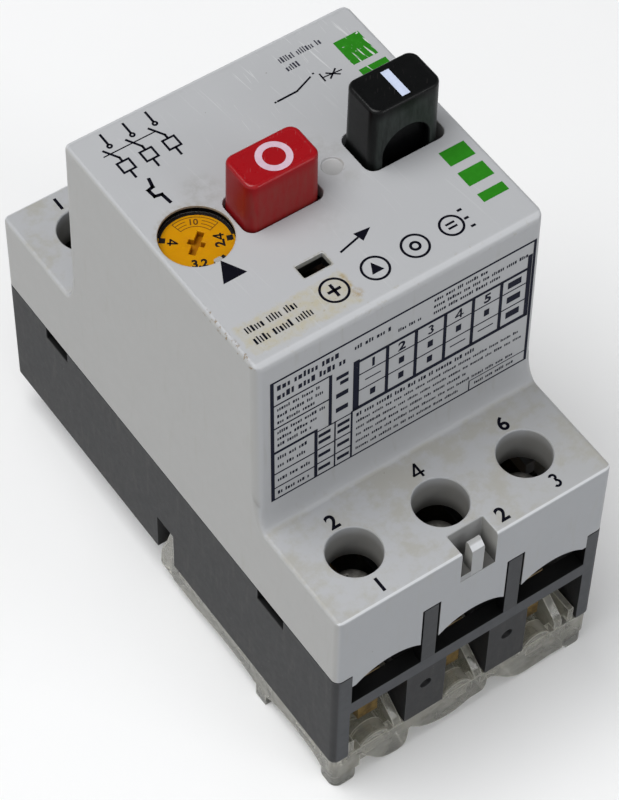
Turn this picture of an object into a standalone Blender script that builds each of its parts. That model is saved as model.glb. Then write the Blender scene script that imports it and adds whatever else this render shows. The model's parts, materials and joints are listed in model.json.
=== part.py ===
"""Three-pole motor protection breaker with two push buttons, built as an assembly.

Frame: X across the poles, -Y is the motor (load) end, +Y is the supply (line) end,
+Z is out of the front face. Z = 0 is the plane of the mounting plate behind the rail.
All lengths are in millimetres and are scaled to metres by MM.
"""
import math

import bmesh
import bpy
from mathutils import Matrix, Vector

for old in list(bpy.data.objects):
    bpy.data.objects.remove(old, do_unlink=True)

MM = 0.001
ENDS = SIDES = (-1, 1)  # signs: load and line end along Y, left and right side along X

# ---- driving dimensions -------------------------------------------------
HALF_W = 22.5          # half of the 45 mm width
HALF_L = 41.4          # half of the overall length
WALL = 2.3             # side walls of the cover
GAP = 0.3              # running gap between cover and housing
BLOCK_TOP_Y = 22.4     # half length of the raised block at its top (45 mm panel cut-out)
BLOCK_FOOT_Y = 24.6    # half length of the raised block where it meets the ledge
CORNER_BEVEL = 1.1     # outer edges of cover and housing

SEAT_Z = 7.5           # rail seat, one top-hat rail height above the mounting plate
SHELF_Z0, SHELF_Z1 = 18.9, 21.5  # shelf across each end of the housing
SPLIT_Z = 28.7         # lower edge of the cover along the sides
COVER_END_Z = 25.9     # lower edge of the cover at the two ends
LEDGE_Z = 43.15        # top of the terminal ledges
TOP_Z = 77.2           # front face of the raised block

POLE_PITCH = 14.0
POLES = (-POLE_PITCH, 0.0, POLE_PITCH)
PARTITIONS = (-POLE_PITCH / 2, POLE_PITCH / 2)
TERM_Y = 33.0          # terminal screw axes at y = -TERM_Y and +TERM_Y
COIL_Y = -15.0         # axis of the magnet coils

STOP_X, START_X, BUTTON_Y = -5.2, 13.6, -0.7
STOP_TOP, START_TOP = 85.5, 87.8
CONTROL_Z = 74.0       # height of the origins of the buttons and the dial
DIAL = (-16.6, -0.45)  # dial centre (x, y)
DIAL_R = 5.0           # dial opening

# fixed pivots and the bores round them
LATCH_AXIS = (11.8, 57.2)      # (y, z), parallel to X
TRIP_AXIS = (-6.0, 47.2)       # (y, z), parallel to X
SETTING_STUD = (DIAL[0], 12.0)  # (x, y), parallel to Z
TRIP_STUD = (15.4, -6.3)       # (x, y), parallel to Z
STUD_R, AXLE_R, FRAME_BORE_R, LEVER_BORE_R = 0.7, 0.8, 0.95, 1.0

CONTACT_Y = {"load": 5.0, "line": 17.0}  # contact tips
CONTACT_R = 1.5
# y ranges of the cover's snap tongues, and the play of each in its housing window
TONGUES_Y = ((-28.6, -23.4), (25.9, 30.6))
TONGUE_PLAY = 0.5

# ---- materials ----------------------------------------------------------
LIGHT_GREY = dict(colour=(0.43, 0.44, 0.46), roughness=0.45)
DARK_GREY = dict(colour=(0.065, 0.066, 0.07), roughness=0.55)
BLACK = dict(colour=(0.012, 0.012, 0.013), roughness=0.42)
RED = dict(colour=(0.52, 0.012, 0.018), roughness=0.35)
AMBER = dict(colour=(0.75, 0.36, 0.01), roughness=0.35)
CLEAR = dict(colour=(0.62, 0.60, 0.50), roughness=0.2, alpha=0.45)
CREAM = dict(colour=(0.55, 0.50, 0.38), roughness=0.5)
BROWN = dict(colour=(0.14, 0.07, 0.035), roughness=0.5)
STEEL = dict(colour=(0.45, 0.45, 0.46), roughness=0.35, metallic=1.0)
ZINC = dict(colour=(0.55, 0.54, 0.5), roughness=0.32, metallic=1.0)
BRASS = dict(colour=(0.62, 0.42, 0.16), roughness=0.33, metallic=1.0)
COPPER = dict(colour=(0.65, 0.30, 0.16), roughness=0.35, metallic=1.0)


def material(name, colour, roughness, metallic=0.0, alpha=1.0):
    mat = bpy.data.materials.new(name)
    mat.use_nodes = True
    inputs = mat.node_tree.nodes["Principled BSDF"].inputs
    inputs["Base Color"].default_value = (*colour, 1.0)
    inputs["Roughness"].default_value = roughness
    inputs["Metallic"].default_value = metallic
    inputs["Alpha"].default_value = alpha
    return mat


# ---- geometry helpers ---------------------------------------------------
# A range is a pair of coordinates along one axis, in either order.
def around(centre, half):
    """The range reaching half to both sides of centre."""
    return (centre - half, centre + half)


def mesh_object(bm):
    bmesh.ops.recalc_face_normals(bm, faces=bm.faces)
    mesh = bpy.data.meshes.new("solid")
    bm.to_mesh(mesh)
    bm.free()
    obj = bpy.data.objects.new("solid", mesh)
    bpy.context.scene.collection.objects.link(obj)
    return obj


def box(*ranges):
    """A block from its x, y and z ranges."""
    (x0, x1), (y0, y1), (z0, z1) = map(sorted, ranges)
    bm = bmesh.new()
    bmesh.ops.create_cube(bm, size=1.0)
    for v in bm.verts:
        v.co = Vector((
            (x0 + (v.co.x + 0.5) * (x1 - x0)) * MM,
            (y0 + (v.co.y + 0.5) * (y1 - y0)) * MM,
            (z0 + (v.co.z + 0.5) * (z1 - z0)) * MM,
        ))
    return mesh_object(bm)


def prism(points, axis, ends, end_points=None):
    """Extrudes a closed outline along an axis; end_points gives a tapered far end.

    Outline points are (y, z) for axis X, (x, z) for Y and (x, y) for Z.
    """
    bm = bmesh.new()

    def ring(outline, t):
        place = {
            "X": lambda u, v: (t, u, v),
            "Y": lambda u, v: (u, t, v),
            "Z": lambda u, v: (u, v, t),
        }[axis]
        return [bm.verts.new(Vector(place(*point)) * MM) for point in outline]

    start, end = sorted(ends)
    lower = ring(points, start)
    upper = ring(end_points or points, end)
    bm.faces.new(lower)
    bm.faces.new(list(reversed(upper)))
    for i in range(len(points)):
        j = (i + 1) % len(points)
        bm.faces.new((lower[i], upper[i], upper[j], lower[j]))
    return mesh_object(bm)


def arc(centre, radius, degrees):
    return [(centre[0] + radius * math.cos(math.radians(a)),
             centre[1] + radius * math.sin(math.radians(a))) for a in degrees]


def circle(centre, radius, count):
    angles = [2 * math.pi * i / count for i in range(count)]
    return [(centre[0] + radius * math.cos(a), centre[1] + radius * math.sin(a)) for a in angles]


def cylinder(centre, ends, radius, count, axis="Z", end_radius=None):
    """A round bar of count sides; end_radius makes it a cone."""
    far = circle(centre, end_radius, count) if end_radius else None
    return prism(circle(centre, radius, count), axis, ends, far)


def rounded(x_range, y_range, radius, segments=3):
    """Outline of a rectangle with round corners."""
    x0, x1 = sorted(x_range)
    y0, y1 = sorted(y_range)
    corners = (
        (x1 - radius, y1 - radius, 0),
        (x0 + radius, y1 - radius, 90),
        (x0 + radius, y0 + radius, 180),
        (x1 - radius, y0 + radius, 270),
    )
    points = []
    for x, y, first in corners:
        points += arc((x, y), radius, [first + 90 * i / segments for i in range(segments + 1)])
    return points


def round_edges(obj, width, chosen):
    """Bevels the edges for which chosen(edge) is true."""
    bm = bmesh.new()
    bm.from_mesh(obj.data)
    edges = [e for e in bm.edges if chosen(e)]
    bmesh.ops.bevel(
        bm, geom=edges, offset=width * MM, segments=2, profile=0.5, affect="EDGES")
    bmesh.ops.recalc_face_normals(bm, faces=bm.faces)
    bm.to_mesh(obj.data)
    bm.free()
    return obj


def is_vertical(edge):
    """True for the edges of a box that run along Z."""
    a, b = edge.verts
    return abs(a.co.z - b.co.z) > 1e-6


def spring(x, y, z_range, radius, wire, turns, per_turn, sides=5):
    """A coil of round wire (wire is its radius), closed by flat caps."""
    z0, z1 = z_range
    bm = bmesh.new()
    rings = []
    steps = turns * per_turn
    height = z1 - z0 - 2 * wire
    lean = math.atan2(height / (2 * math.pi * turns), radius)
    for i in range(steps + 1):
        a = 2 * math.pi * turns * i / steps
        radial = Vector((math.cos(a), math.sin(a), 0))
        tangent = Vector((
            -math.sin(a) * math.cos(lean), math.cos(a) * math.cos(lean), math.sin(lean)))
        up = radial.cross(tangent)
        centre = Vector((x, y, z0 + wire + height * i / steps)) + radial * radius
        ring = []
        for k in range(sides):
            b = 2 * math.pi * k / sides
            offset = radial * (wire * math.cos(b)) + up * (wire * math.sin(b))
            ring.append(bm.verts.new((centre + offset) * MM))
        rings.append(ring)
    for near, far in zip(rings, rings[1:]):
        for k in range(sides):
            m = (k + 1) % sides
            bm.faces.new((near[k], near[m], far[m], far[k]))
    bm.faces.new(rings[0])
    bm.faces.new(rings[-1])
    return mesh_object(bm)


def tidy(obj):
    """Merges and dissolves what the Booleans leave behind."""
    bm = bmesh.new()
    bm.from_mesh(obj.data)
    bmesh.ops.remove_doubles(bm, verts=bm.verts, dist=1e-6)
    bmesh.ops.dissolve_degenerate(bm, edges=bm.edges, dist=1e-7)
    bmesh.ops.dissolve_limit(
        bm, angle_limit=math.radians(0.5), verts=bm.verts, edges=bm.edges)
    bmesh.ops.recalc_face_normals(bm, faces=bm.faces)
    bm.to_mesh(obj.data)
    bm.free()


ADD, CUT = "UNION", "DIFFERENCE"


def combine(base, steps):
    """Applies (ADD or CUT, solid) steps to base, in order, with exact Booleans."""
    for operation, tool in steps:
        mod = base.modifiers.new("shape", "BOOLEAN")
        mod.operation = operation
        mod.solver = "EXACT"
        mod.object = tool
        tool.hide_render = True
    graph = bpy.context.evaluated_depsgraph_get()
    shape = bpy.data.meshes.new_from_object(base.evaluated_get(graph))
    base.modifiers.clear()
    base.data = shape
    for _, tool in steps:
        bpy.data.objects.remove(tool, do_unlink=True)
    tidy(base)
    return base


def piece(name, obj, finish, origin=None, smooth=True):
    """Names a finished solid, gives it its material and puts its origin on its joint."""
    obj.name = name
    obj.data.name = name
    obj.data.materials.clear()
    obj.data.materials.append(material(name, **finish))
    if origin is not None:
        at = Vector(origin) * MM
        obj.data.transform(Matrix.Translation(-at))
        obj.location = at
    if smooth:
        obj.data.shade_smooth()
        obj.data.set_sharp_from_angle(angle=math.radians(35))


# ---- front cover --------------------------------------------------------
INNER_X = HALF_W - WALL
CURVE_Z = 48.0         # where the block's end wall starts to curve out
WIRE_ENTRY_X = (-13.6, 0.0, 13.6)
WIRE_ENTRY_R = 8.56
WIRE_ENTRY_TOP = 27.9
FACE_CUT = (73.0, 80.0)  # z range that passes through the front face


def cover_outline():
    """Cover outline (y, z): straight block walls, each curving out to its ledge."""
    half = [(BLOCK_TOP_Y, TOP_Z), (BLOCK_TOP_Y + 0.55, 50.0)]
    for i in range(1, 5):
        t = i / 4
        y = BLOCK_TOP_Y + 0.6 + (BLOCK_FOOT_Y - BLOCK_TOP_Y - 0.6) * t * t
        z = CURVE_Z - (CURVE_Z - LEDGE_Z) * (1 - (1 - t) ** 1.6)
        half.append((y, z))
    half += [(HALF_L, LEDGE_Z), (HALF_L, COVER_END_Z)]
    return half + [(-y, z) for y, z in reversed(half)]


def is_cover_edge(edge):
    """True for sharp edges, except the lower rim and the inner corners at the ledges."""
    a, b = (v.co for v in edge.verts)
    rim_z = (COVER_END_Z + 0.5) * MM
    if (a.z < rim_z and b.z < rim_z) or edge.calc_face_angle() < math.radians(40):
        return False
    along_x = abs(a.x - b.x) > 0.001
    at_foot = (abs(a.z - LEDGE_Z * MM) < 1e-5
               and abs(abs(a.y) - BLOCK_FOOT_Y * MM) < 1e-5)
    return not (along_x and at_foot)


def front_cover():
    body = round_edges(
        prism(cover_outline(), "X", (-HALF_W, HALF_W)), CORNER_BEVEL, is_cover_edge)
    end_y, block_y = HALF_L - 2.0, BLOCK_TOP_Y - 2.0
    hollow = [
        (-end_y, 15), (-end_y, 41.0), (-block_y, 41.0), (-block_y, 75.0),
        (block_y, 75.0), (block_y, 41.0), (end_y, 41.0), (end_y, 15),
    ]
    steps = [(CUT, prism(hollow, "X", (-INNER_X, INNER_X)))]
    # the side walls stop higher than the end walls
    for s in SIDES:
        steps.append((CUT, box((s * 19.75, s * 24.0), (-45, 45), (20, SPLIT_Z))))
    # collars round the screw wells, and the snap pocket block at each end
    for s in ENDS:
        for x in POLES:
            steps.append((ADD, cylinder((x, s * TERM_Y), (37.0, 42.0), 5.3, 20)))
        steps.append((ADD, box((-4.2, 4.2), (s * 36.6, s * 40.6), (35.0, 42.2))))
    for s in ENDS:
        through_end = (s * 38.6, s * 43.0)
        # tapered screw wells
        for x in POLES:
            well = cylinder((x, s * TERM_Y), (34.0, 44.0), 3.6, 24, end_radius=3.95)
            steps.append((CUT, well))
        # snap pocket with a rib across its middle
        steps.append((CUT, box((-3.0, 3.0), (s * 37.8, s * 43.0), (36.5, 45.0))))
        steps.append((ADD, box((-0.95, 0.95), (s * 39.1, s * 41.0), (35.6, 42.0))))
        # arched wire entries and the slots for the housing posts
        for x in WIRE_ENTRY_X:
            centre = (x, WIRE_ENTRY_TOP - WIRE_ENTRY_R)
            steps.append((CUT, cylinder(centre, through_end, WIRE_ENTRY_R, 44, "Y")))
        for x in PARTITIONS:
            steps.append((CUT, box(around(x, 1.5), through_end, (22.0, 34.5))))
    steps += [
        # button openings: stop, start
        (CUT, prism(rounded((-11.1, 1.1), (-4.25, 2.85), 1.5), "Z", FACE_CUT)),
        (CUT, prism(rounded((7.65, 20.2), (-4.5, 2.95), 1.5), "Z", FACE_CUT)),
        # dial recess from the inside, then the dial opening
        (CUT, cylinder(DIAL, (70.0, 76.05), 5.35, 32)),
        (CUT, cylinder(DIAL, (74.0, 80.0), DIAL_R, 32)),
        # test slot, and a shallow round dimple between the buttons
        (CUT, box((-9.15, -4.9), (-13.8, -11.6), FACE_CUT)),
        (CUT, cylinder((4.4, -0.57), (TOP_Z - 0.35, 80.0), 1.55, 20)),
        # pointer tooth at the dial
        (ADD, box((-17.0, -15.85), (-6.2, -4.85), (76.1, TOP_Z))),
    ]
    # stepped snap tongues on both sides
    for s in SIDES:
        for tongue_y in TONGUES_Y:
            steps += [
                (ADD, box((s * 18.6, s * 20.8), tongue_y, (29.2, 31.4))),
                (ADD, box((s * 18.6, s * 20.1), tongue_y, (26.5, 29.6))),
                (ADD, box((s * 19.6, s * 21.6), tongue_y, (26.6, 27.9))),
            ]
    piece("front_cover", combine(body, steps), LIGHT_GREY)


# ---- base housing -------------------------------------------------------
CHAMBERS_X = ((-19.9, -10.3), (-3.7, 3.7), (10.3, 19.9))


def base_housing():
    top = SPLIT_Z - GAP
    body = box((-HALF_W, HALF_W), (-HALF_L, HALF_L), (SEAT_Z, top))
    round_edges(body, CORNER_BEVEL, is_vertical)
    steps = [
        # interior, open towards the mounting plate over the load half
        (CUT, box((-20.5, 20.5), (-38.9, 38.9), (9.5, 32.0))),
        (CUT, box((-20.5, 20.5), (-38.9, 0.0), (5.0, 12.0))),
    ]
    # lower the end walls to the shelf
    for s in ENDS:
        steps.append((CUT, box((-19.75, 19.75), (s * 38.4, s * 43.0), (SHELF_Z1, 32.0))))
    # open terminal chambers at the load end, shallow closed panels at the line end
    for chamber_x in CHAMBERS_X:
        steps.append((CUT, box(chamber_x, (-43.0, -38.4), (5.0, SHELF_Z0))))
        steps.append((CUT, box(chamber_x, (40.2, 43.0), (5.0, SHELF_Z0))))
    # partition blocks, posts and a small blind hole in each block's end face
    for s in ENDS:
        for x in PARTITIONS:
            block_y, post_y = (s * 36.6, s * HALF_L), (s * 38.95, s * HALF_L)
            steps += [
                (ADD, box(around(x, 3.3), block_y, (8.2, SHELF_Z0 + 0.6))),
                (ADD, box(around(x, 1.2), post_y, (SHELF_Z1 - 1.0, 34.2))),
                (CUT, cylinder((x, 14.9), (s * 40.8, s * 43.0), 0.9, 12, "Y")),
            ]
    # walls between the poles
    for x in PARTITIONS:
        steps.append((ADD, box(around(x, 0.6), (-37.0, 39.2), (9.2, top))))
    # windows for the cover's snap tongues, and the rail notch in both side walls
    for s in SIDES:
        for y0, y1 in TONGUES_Y:
            window_y = (y0 - TONGUE_PLAY, y1 + TONGUE_PLAY)
            steps.append((CUT, box((s * 20.0, s * 24.0), window_y, (26.1, 32.0))))
        steps.append((CUT, box((s * 20.3, s * 24.0), (-1.7, 2.5), (5.0, 15.0))))
    steps += [
        # shallow recess between the two rail seat faces
        (CUT, box((-9.6, 9.6), (-1.0, 43.0), (6.0, SEAT_Z + 0.3))),
        # fixed rail hook at the line end: leg and lip
        (ADD, box((-9.0, 9.0), (37.7, 41.2), (0.6, 9.0))),
        (ADD, box((-9.0, 9.0), (36.2, 38.6), (4.6, 6.1))),
        # cross walls that carry the terminal bars
        (ADD, box((-20.8, 20.8), (-28.6, -27.0), (16.0, 25.7))),
        (ADD, box((-20.8, 20.8), (27.0, 28.6), (9.3, 25.7))),
    ]
    piece("base_housing", combine(body, steps), DARK_GREY)


# ---- clear rear cover ---------------------------------------------------
REAR_HOOK = [(-1.3, 3.0), (2.3, 3.2), (2.1, 6.7), (0.7, 10.4), (-0.6, 14.4), (-1.3, 14.4)]  # (y, z)
# (y0, y1, crown z) of the arches in the side walls' lower edges
REAR_ARCHES = ((-21.6, -7.0, 3.3), (-38.0, -25.2, 3.9))
REAR_ARCH_FOOT = 2.4


def rear_cover():
    body = box((-22.2, 22.2), (-41.2, 0.0), (2.6, 7.2))
    round_edges(body, 1.0, is_vertical)
    steps = [(CUT, box((-20.6, 20.6), (-39.7, -1.6), (4.2, 9.0)))]
    for s in SIDES:
        corner_foot = rounded((s * 18.6, s * 22.2), (-41.2, -37.6), 1.2, segments=2)
        steps += [
            # hook in the rail notch, feet at the load corner and further in
            (ADD, prism(REAR_HOOK, "X", (s * 20.9, s * 22.2))),
            (ADD, prism(corner_foot, "Z", (0.0, 3.4))),
            (ADD, box((s * 20.2, s * 22.2), (-24.6, -22.2), (0.0, 3.4))),
            # tall inner side wall at the load end
            (ADD, box((s * 18.7, s * 19.6), (-41.0, -35.0), (3.4, 10.0))),
        ]
        for y0, y1, crown in REAR_ARCHES:
            middle, half = (y0 + y1) / 2, (y1 - y0) / 2
            rise = crown - REAR_ARCH_FOOT
            arch = [
                (middle + half * math.cos(math.pi * k / 10),
                 REAR_ARCH_FOOT + rise * math.sin(math.pi * k / 10))
                for k in range(11)
            ]
            outline = [(y1, 1.0)] + arch + [(y0, 1.0)]
            steps.append((CUT, prism(outline, "X", (s * 21.3, s * 24.0))))
    # three shallow pads below the load end, with notches beside them
    for pad_x in ((-17.4, -9.4), (-8.7, 4.1), (4.9, 19.0)):
        steps.append((ADD, prism(rounded(pad_x, (-41.2, -35.0), 1.6), "Z", (0.5, 3.4))))
    for x in (-17.9, -9.05, 4.5):
        steps.append((CUT, box(around(x, 0.3), (-42.0, -39.2), (0.0, 5.0))))
    # upright ribs, and round cups beside them
    for x in (-11.5, 2.6):
        steps.append((ADD, box(around(x, 0.55), (-41.0, -35.4), (3.4, 9.6))))
    for x in (-15.2, -0.9, 14.0):
        steps.append((ADD, cylinder((x, -38.2), (3.6, 8.4), 2.7, 20)))
        steps.append((CUT, cylinder((x, -38.2), (4.2, 9.4), 1.75, 16)))
    steps += [
        # passage for the rail clip, then the seat lug for the rail spring
        (CUT, box((-3.4, 3.4), (-3.0, 1.0), (4.5, 6.9))),
        (ADD, box((-1.3, 1.3), (-15.6, -14.7), (3.4, 6.8))),
    ]
    piece("rear_cover", combine(body, steps), CLEAR)


# ---- buttons ------------------------------------------------------------
def button_cap(x_range, y_range, bottom, top):
    """A cap with round corners and a rounded top rim."""
    cap = prism(rounded(x_range, y_range, 1.5), "Z", (bottom, top))
    return round_edges(
        cap, 0.5, lambda e: all(abs(v.co.z - top * MM) < 1e-6 for v in e.verts))


def button_stem(x, z_range):
    return box(around(x, 1.8), around(BUTTON_Y, 1.5), z_range)


def stop_button():
    cap = button_cap((-10.75, 0.35), (-3.95, 2.55), 72.6, STOP_TOP)
    steps = [
        (ADD, box((-10.3, -0.1), (-5.5, 4.1), (73.0, 74.6))),  # retaining flange
        (ADD, button_stem(STOP_X, (58.6, 73.2))),
    ]
    piece("stop_button", combine(cap, steps), RED, origin=(STOP_X, BUTTON_Y, CONTROL_Z))


def start_button():
    cap = button_cap((8.2, 19.0), (-4.2, 2.65), 71.4, START_TOP)
    arch = [(9.9, 70.0)] + arc((13.45, 79.0), 3.6, range(180, -1, -20)) + [(17.05, 70.0)]
    steps = [
        (CUT, prism(arch, "Y", (-6.0, -3.0))),  # arched recess in the -Y face
        (ADD, box((8.4, 19.2), (-5.7, 4.3), (72.0, 74.5))),  # retaining flange
        (ADD, button_stem(START_X, (54.0, 72.2))),
    ]
    piece("start_button", combine(cap, steps), BLACK, origin=(START_X, BUTTON_Y, CONTROL_Z))


def button_spring(name, x, top, frame_top=61.9):
    coil = spring(x, BUTTON_Y, (frame_top + 0.3, top), 3.1, wire=0.3, turns=4, per_turn=12)
    piece(name, coil, ZINC)


# ---- setting dial and levers ----------------------------------------------
def setting_dial():
    disc = cylinder(DIAL, (73.6, 75.75), 5.1, 40)
    steps = [
        # shaft, and the eccentric at its lower end
        (ADD, cylinder(DIAL, (66.0, 74.0), 1.7, 16)),
        (ADD, cylinder((DIAL[0] + 0.7, DIAL[1]), (64.6, 67.2), 2.3, 20)),
    ]
    # cross slot: angle, half length and half width of each arm
    slot_angle = math.radians(39)
    for angle, length, width in ((slot_angle, 1.95, 0.5), (slot_angle + math.pi / 2, 1.3, 0.45)):
        c, s = math.cos(angle), math.sin(angle)
        corners = [
            (DIAL[0] + c * length * i - s * width * j, DIAL[1] + s * length * i + c * width * j)
            for i, j in ((1, 1), (-1, 1), (-1, -1), (1, -1))
        ]
        steps.append((CUT, prism(corners, "Z", (74.7, 77.0))))
    piece("setting_dial", combine(disc, steps), AMBER, origin=(*DIAL, CONTROL_Z))


def stud_lever(name, arm, stud, hub_z, hub_radius, bore_z, origin_z):
    """An arm with a bored hub that turns on a vertical stud."""
    steps = [
        (ADD, cylinder(stud, hub_z, hub_radius, 20)),
        (CUT, cylinder(stud, bore_z, LEVER_BORE_R, 16)),
    ]
    piece(name, combine(arm, steps), CREAM, origin=(*stud, origin_z))


def adjusting_lever():
    arm = box((-18.2, -15.0), (3.3, 12.6), (64.8, 66.2))
    stud_lever("adjusting_lever", arm, SETTING_STUD, hub_z=(64.4, 66.6), hub_radius=2.2,
               bore_z=(63.0, 68.0), origin_z=65.5)


def trip_lever():
    arm = box((14.4, 16.4), (-17.4, -5.6), (64.4, 65.8))
    stud_lever("trip_lever", arm, TRIP_STUD, hub_z=(64.2, 66.0), hub_radius=1.9,
               bore_z=(62, 68), origin_z=65.0)


# ---- switching mechanism --------------------------------------------------
def mechanism_frame():
    depth_y = (-8.4, 14.6)
    plate = box((-19.9, 19.9), depth_y, (60.4, 61.9))
    steps = []
    # holes for the button stems
    for x in (STOP_X, START_X):
        steps.append((CUT, box(around(x, 2.3), around(BUTTON_Y, 2.0), (58, 64))))
    steps.append((ADD, cylinder(SETTING_STUD, (61.5, 67.4), STUD_R, 12)))
    # side cheeks
    for s in SIDES:
        steps.append((ADD, box((s * 18.9, s * 19.9), depth_y, (44.0, 61.0))))
    # ears for the latch axle
    for ear_x in ((-9.6, -8.4), (-2.0, -0.8)):
        steps.append((ADD, box(ear_x, (10.0, 13.6), (55.2, 61.0))))
    steps += [
        (CUT, cylinder(LATCH_AXIS, (-11.0, 1.0), FRAME_BORE_R, 16, "X")),
        (CUT, cylinder(TRIP_AXIS, (-22.0, 22.0), FRAME_BORE_R, 16, "X")),
        (ADD, cylinder(TRIP_STUD, (61.5, 66.4), STUD_R, 12)),
    ]
    piece("mechanism_frame", combine(plate, steps), BROWN)


def latch_lever():
    arm = box((-7.0, -3.4), (-2.4, 12.8), (56.8, 58.2))
    steps = [
        (ADD, cylinder(LATCH_AXIS, (-7.9, -2.5), 1.7, 20, "X")),  # hub
        (ADD, box((-6.0, -4.4), (12.2, 14.2), (57.0, 59.4))),  # nose at the +Y end
        (CUT, cylinder(LATCH_AXIS, (-11.0, 1.0), LEVER_BORE_R, 16, "X")),
    ]
    piece("latch_lever", combine(arm, steps), STEEL, origin=(STOP_X, *LATCH_AXIS))


def axle(name, axis, x_range):
    piece(name, cylinder(axis, x_range, AXLE_R, 16, "X"), ZINC)


def trip_bar():
    bar_x = (-18.3, 18.3)
    bar = box(bar_x, (-7.4, -4.6), (46.4, 48.0))
    steps = [(ADD, cylinder(TRIP_AXIS, bar_x, 1.8, 16, "X"))]
    # one finger over each magnet plunger
    for x in POLES:
        steps.append((ADD, box(around(x, 1.6), (-16.6, -6.0), (46.9, 48.3))))
    steps.append((CUT, cylinder(TRIP_AXIS, (-22, 22), LEVER_BORE_R, 16, "X")))
    piece("trip_bar", combine(bar, steps), CREAM, origin=(0, *TRIP_AXIS))


def trip_slide():
    bar = box((-18.9, 17.4), (-18.4, -9.6), (61.0, 62.2))
    # slots round the bimetal strips
    steps = [(CUT, box((x + 0.6, x + 3.65), (-17.0, -11.0), (59, 64))) for x in POLES]
    steps += [
        # finger below the test slot, and the peg that pushes the trip lever
        (ADD, box((-8.7, -7.3), (-13.6, -11.8), (61.6, 73.2))),
        (ADD, box((12.7, 13.9), (-17.2, -15.4), (61.8, 66.0))),
    ]
    piece("trip_slide", combine(bar, steps), CREAM, origin=(-8.0, -12.7, 62.0))


def contact_carrier():
    beam = box((-18.5, 18.5), (4.8, 17.4), (49.2, 51.2))
    # pad below the start button's stem
    steps = [(ADD, box(around(START_X, 2.0), (BUTTON_Y - 2.0, 5.6), (50.0, 53.7)))]
    # a cage for each moving contact and its spring
    for x in POLES:
        steps.append((ADD, box(around(x, 3.4), (8.6, 13.4), (41.0, 50.0))))
        steps.append((CUT, box(around(x, 2.4), (7.0, 15.0), (42.2, 48.2))))
    piece("contact_carrier", combine(beam, steps), BROWN, origin=(0, 11.0, 49.0))


def moving_contact(number, x):
    bridge = box(around(x, 2.0), (3.4, 18.6), (42.5, 43.6))
    steps = [
        (ADD, cylinder((x, y), (41.6, 42.8), CONTACT_R, 16)) for y in CONTACT_Y.values()
    ]
    piece(f"moving_contact_{number}", combine(bridge, steps), COPPER)


def contact_spring(number, x):
    coil = spring(x, 11.0, (43.9, 47.9), 1.5, wire=0.22, turns=3, per_turn=10)
    piece(f"contact_spring_{number}", coil, ZINC)


# ---- terminal bars --------------------------------------------------------
# bent outlines, (y, z)
LINE_BAR = [
    (36.8, 26.0), (36.8, 27.4), (19.4, 27.4), (19.4, 35.8),
    (15.0, 35.8), (15.0, 34.4), (18.0, 34.4), (18.0, 26.0),
]
LOAD_BAR = [
    (-6.4, 26.0), (-6.4, 27.4), (3.2, 27.4), (3.2, 35.8),
    (7.2, 35.8), (7.2, 34.4), (4.6, 34.4), (4.6, 26.0),
]
LOAD_TERMINAL_BAR = [
    (-36.8, 26.0), (-36.8, 27.4), (-24.4, 27.4), (-24.4, 33.4),
    (-17.6, 33.4), (-17.6, 32.0), (-23.0, 32.0), (-23.0, 26.0),
]


def terminal_bar(name, x, outline, pad_y=None, tip_y=None):
    """A bent bar with an optional wire pad below it and contact tip on top."""
    bar = prism(outline, "X", around(x, 2.6))
    steps = []
    if pad_y is not None:
        steps.append((ADD, box(around(x, 2.0), around(pad_y, 2.9), (25.6, 26.4))))
    if tip_y is not None:
        steps.append((ADD, cylinder((x, tip_y), (35.2, 37.3), CONTACT_R, 16)))
    piece(name, combine(bar, steps), BRASS)


def terminal_bars(number, x):
    terminal_bar(f"line_contact_{number}", x, LINE_BAR, pad_y=TERM_Y, tip_y=CONTACT_Y["line"])
    terminal_bar(f"load_contact_{number}", x, LOAD_BAR, tip_y=CONTACT_Y["load"])
    terminal_bar(f"load_terminal_{number}", x, LOAD_TERMINAL_BAR, pad_y=-TERM_Y)


# ---- magnetic and thermal release ----------------------------------------
def coil_profile(turns=5):
    """Closed (radius, z) section: two cheeks with a ribbed winding between them."""
    bore, cheek, z_low, z_high = 2.95, 5.3, 13.2, 27.2
    profile = [(bore, 12.2), (cheek, 12.2), (cheek, z_low), (4.9, z_low)]
    z = z_low
    step = (z_high - z_low) / turns
    for _ in range(turns):
        profile += [(5.15, z + step * 0.5), (4.75, z + step * 0.97)]
        z += step
    return profile + [(cheek, z_high), (cheek, 28.1), (bore, 28.1)]


def magnet_coil(number, x, sectors=14):
    profile = coil_profile()
    bm = bmesh.new()
    rings = []
    for k in range(sectors):
        a = 2 * math.pi * k / sectors
        rings.append([
            bm.verts.new(Vector((x + r * math.cos(a), COIL_Y + r * math.sin(a), z)) * MM)
            for r, z in profile
        ])
    for k in range(sectors):
        near, far = rings[k], rings[(k + 1) % sectors]
        for j in range(len(profile)):
            m = (j + 1) % len(profile)
            bm.faces.new((near[j], far[j], far[m], near[m]))
    piece(f"magnet_coil_{number}", mesh_object(bm), COPPER)


def magnet_yoke(number, x):
    width_x, depth_y = around(x, 5.2), (-20.4, -7.6)
    yoke = box(width_x, depth_y, (10.4, 11.8))
    steps = [
        (ADD, box(width_x, (-9.0, -7.6), (11.0, 29.0))),
        (ADD, box(width_x, depth_y, (28.5, 29.8))),
        (CUT, cylinder((x, COIL_Y), (27.5, 31), 2.9, 20)),
    ]
    piece(f"magnet_yoke_{number}", combine(yoke, steps), STEEL)


def magnet_plunger(number, x):
    core = cylinder((x, COIL_Y), (16.0, 30.5), 2.5, 18)
    steps = [(ADD, cylinder((x, COIL_Y), (30.0, 44.4), 0.9, 12))]  # push pin
    piece(f"magnet_plunger_{number}", combine(core, steps), ZINC, origin=(x, COIL_Y, 20.0))


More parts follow.
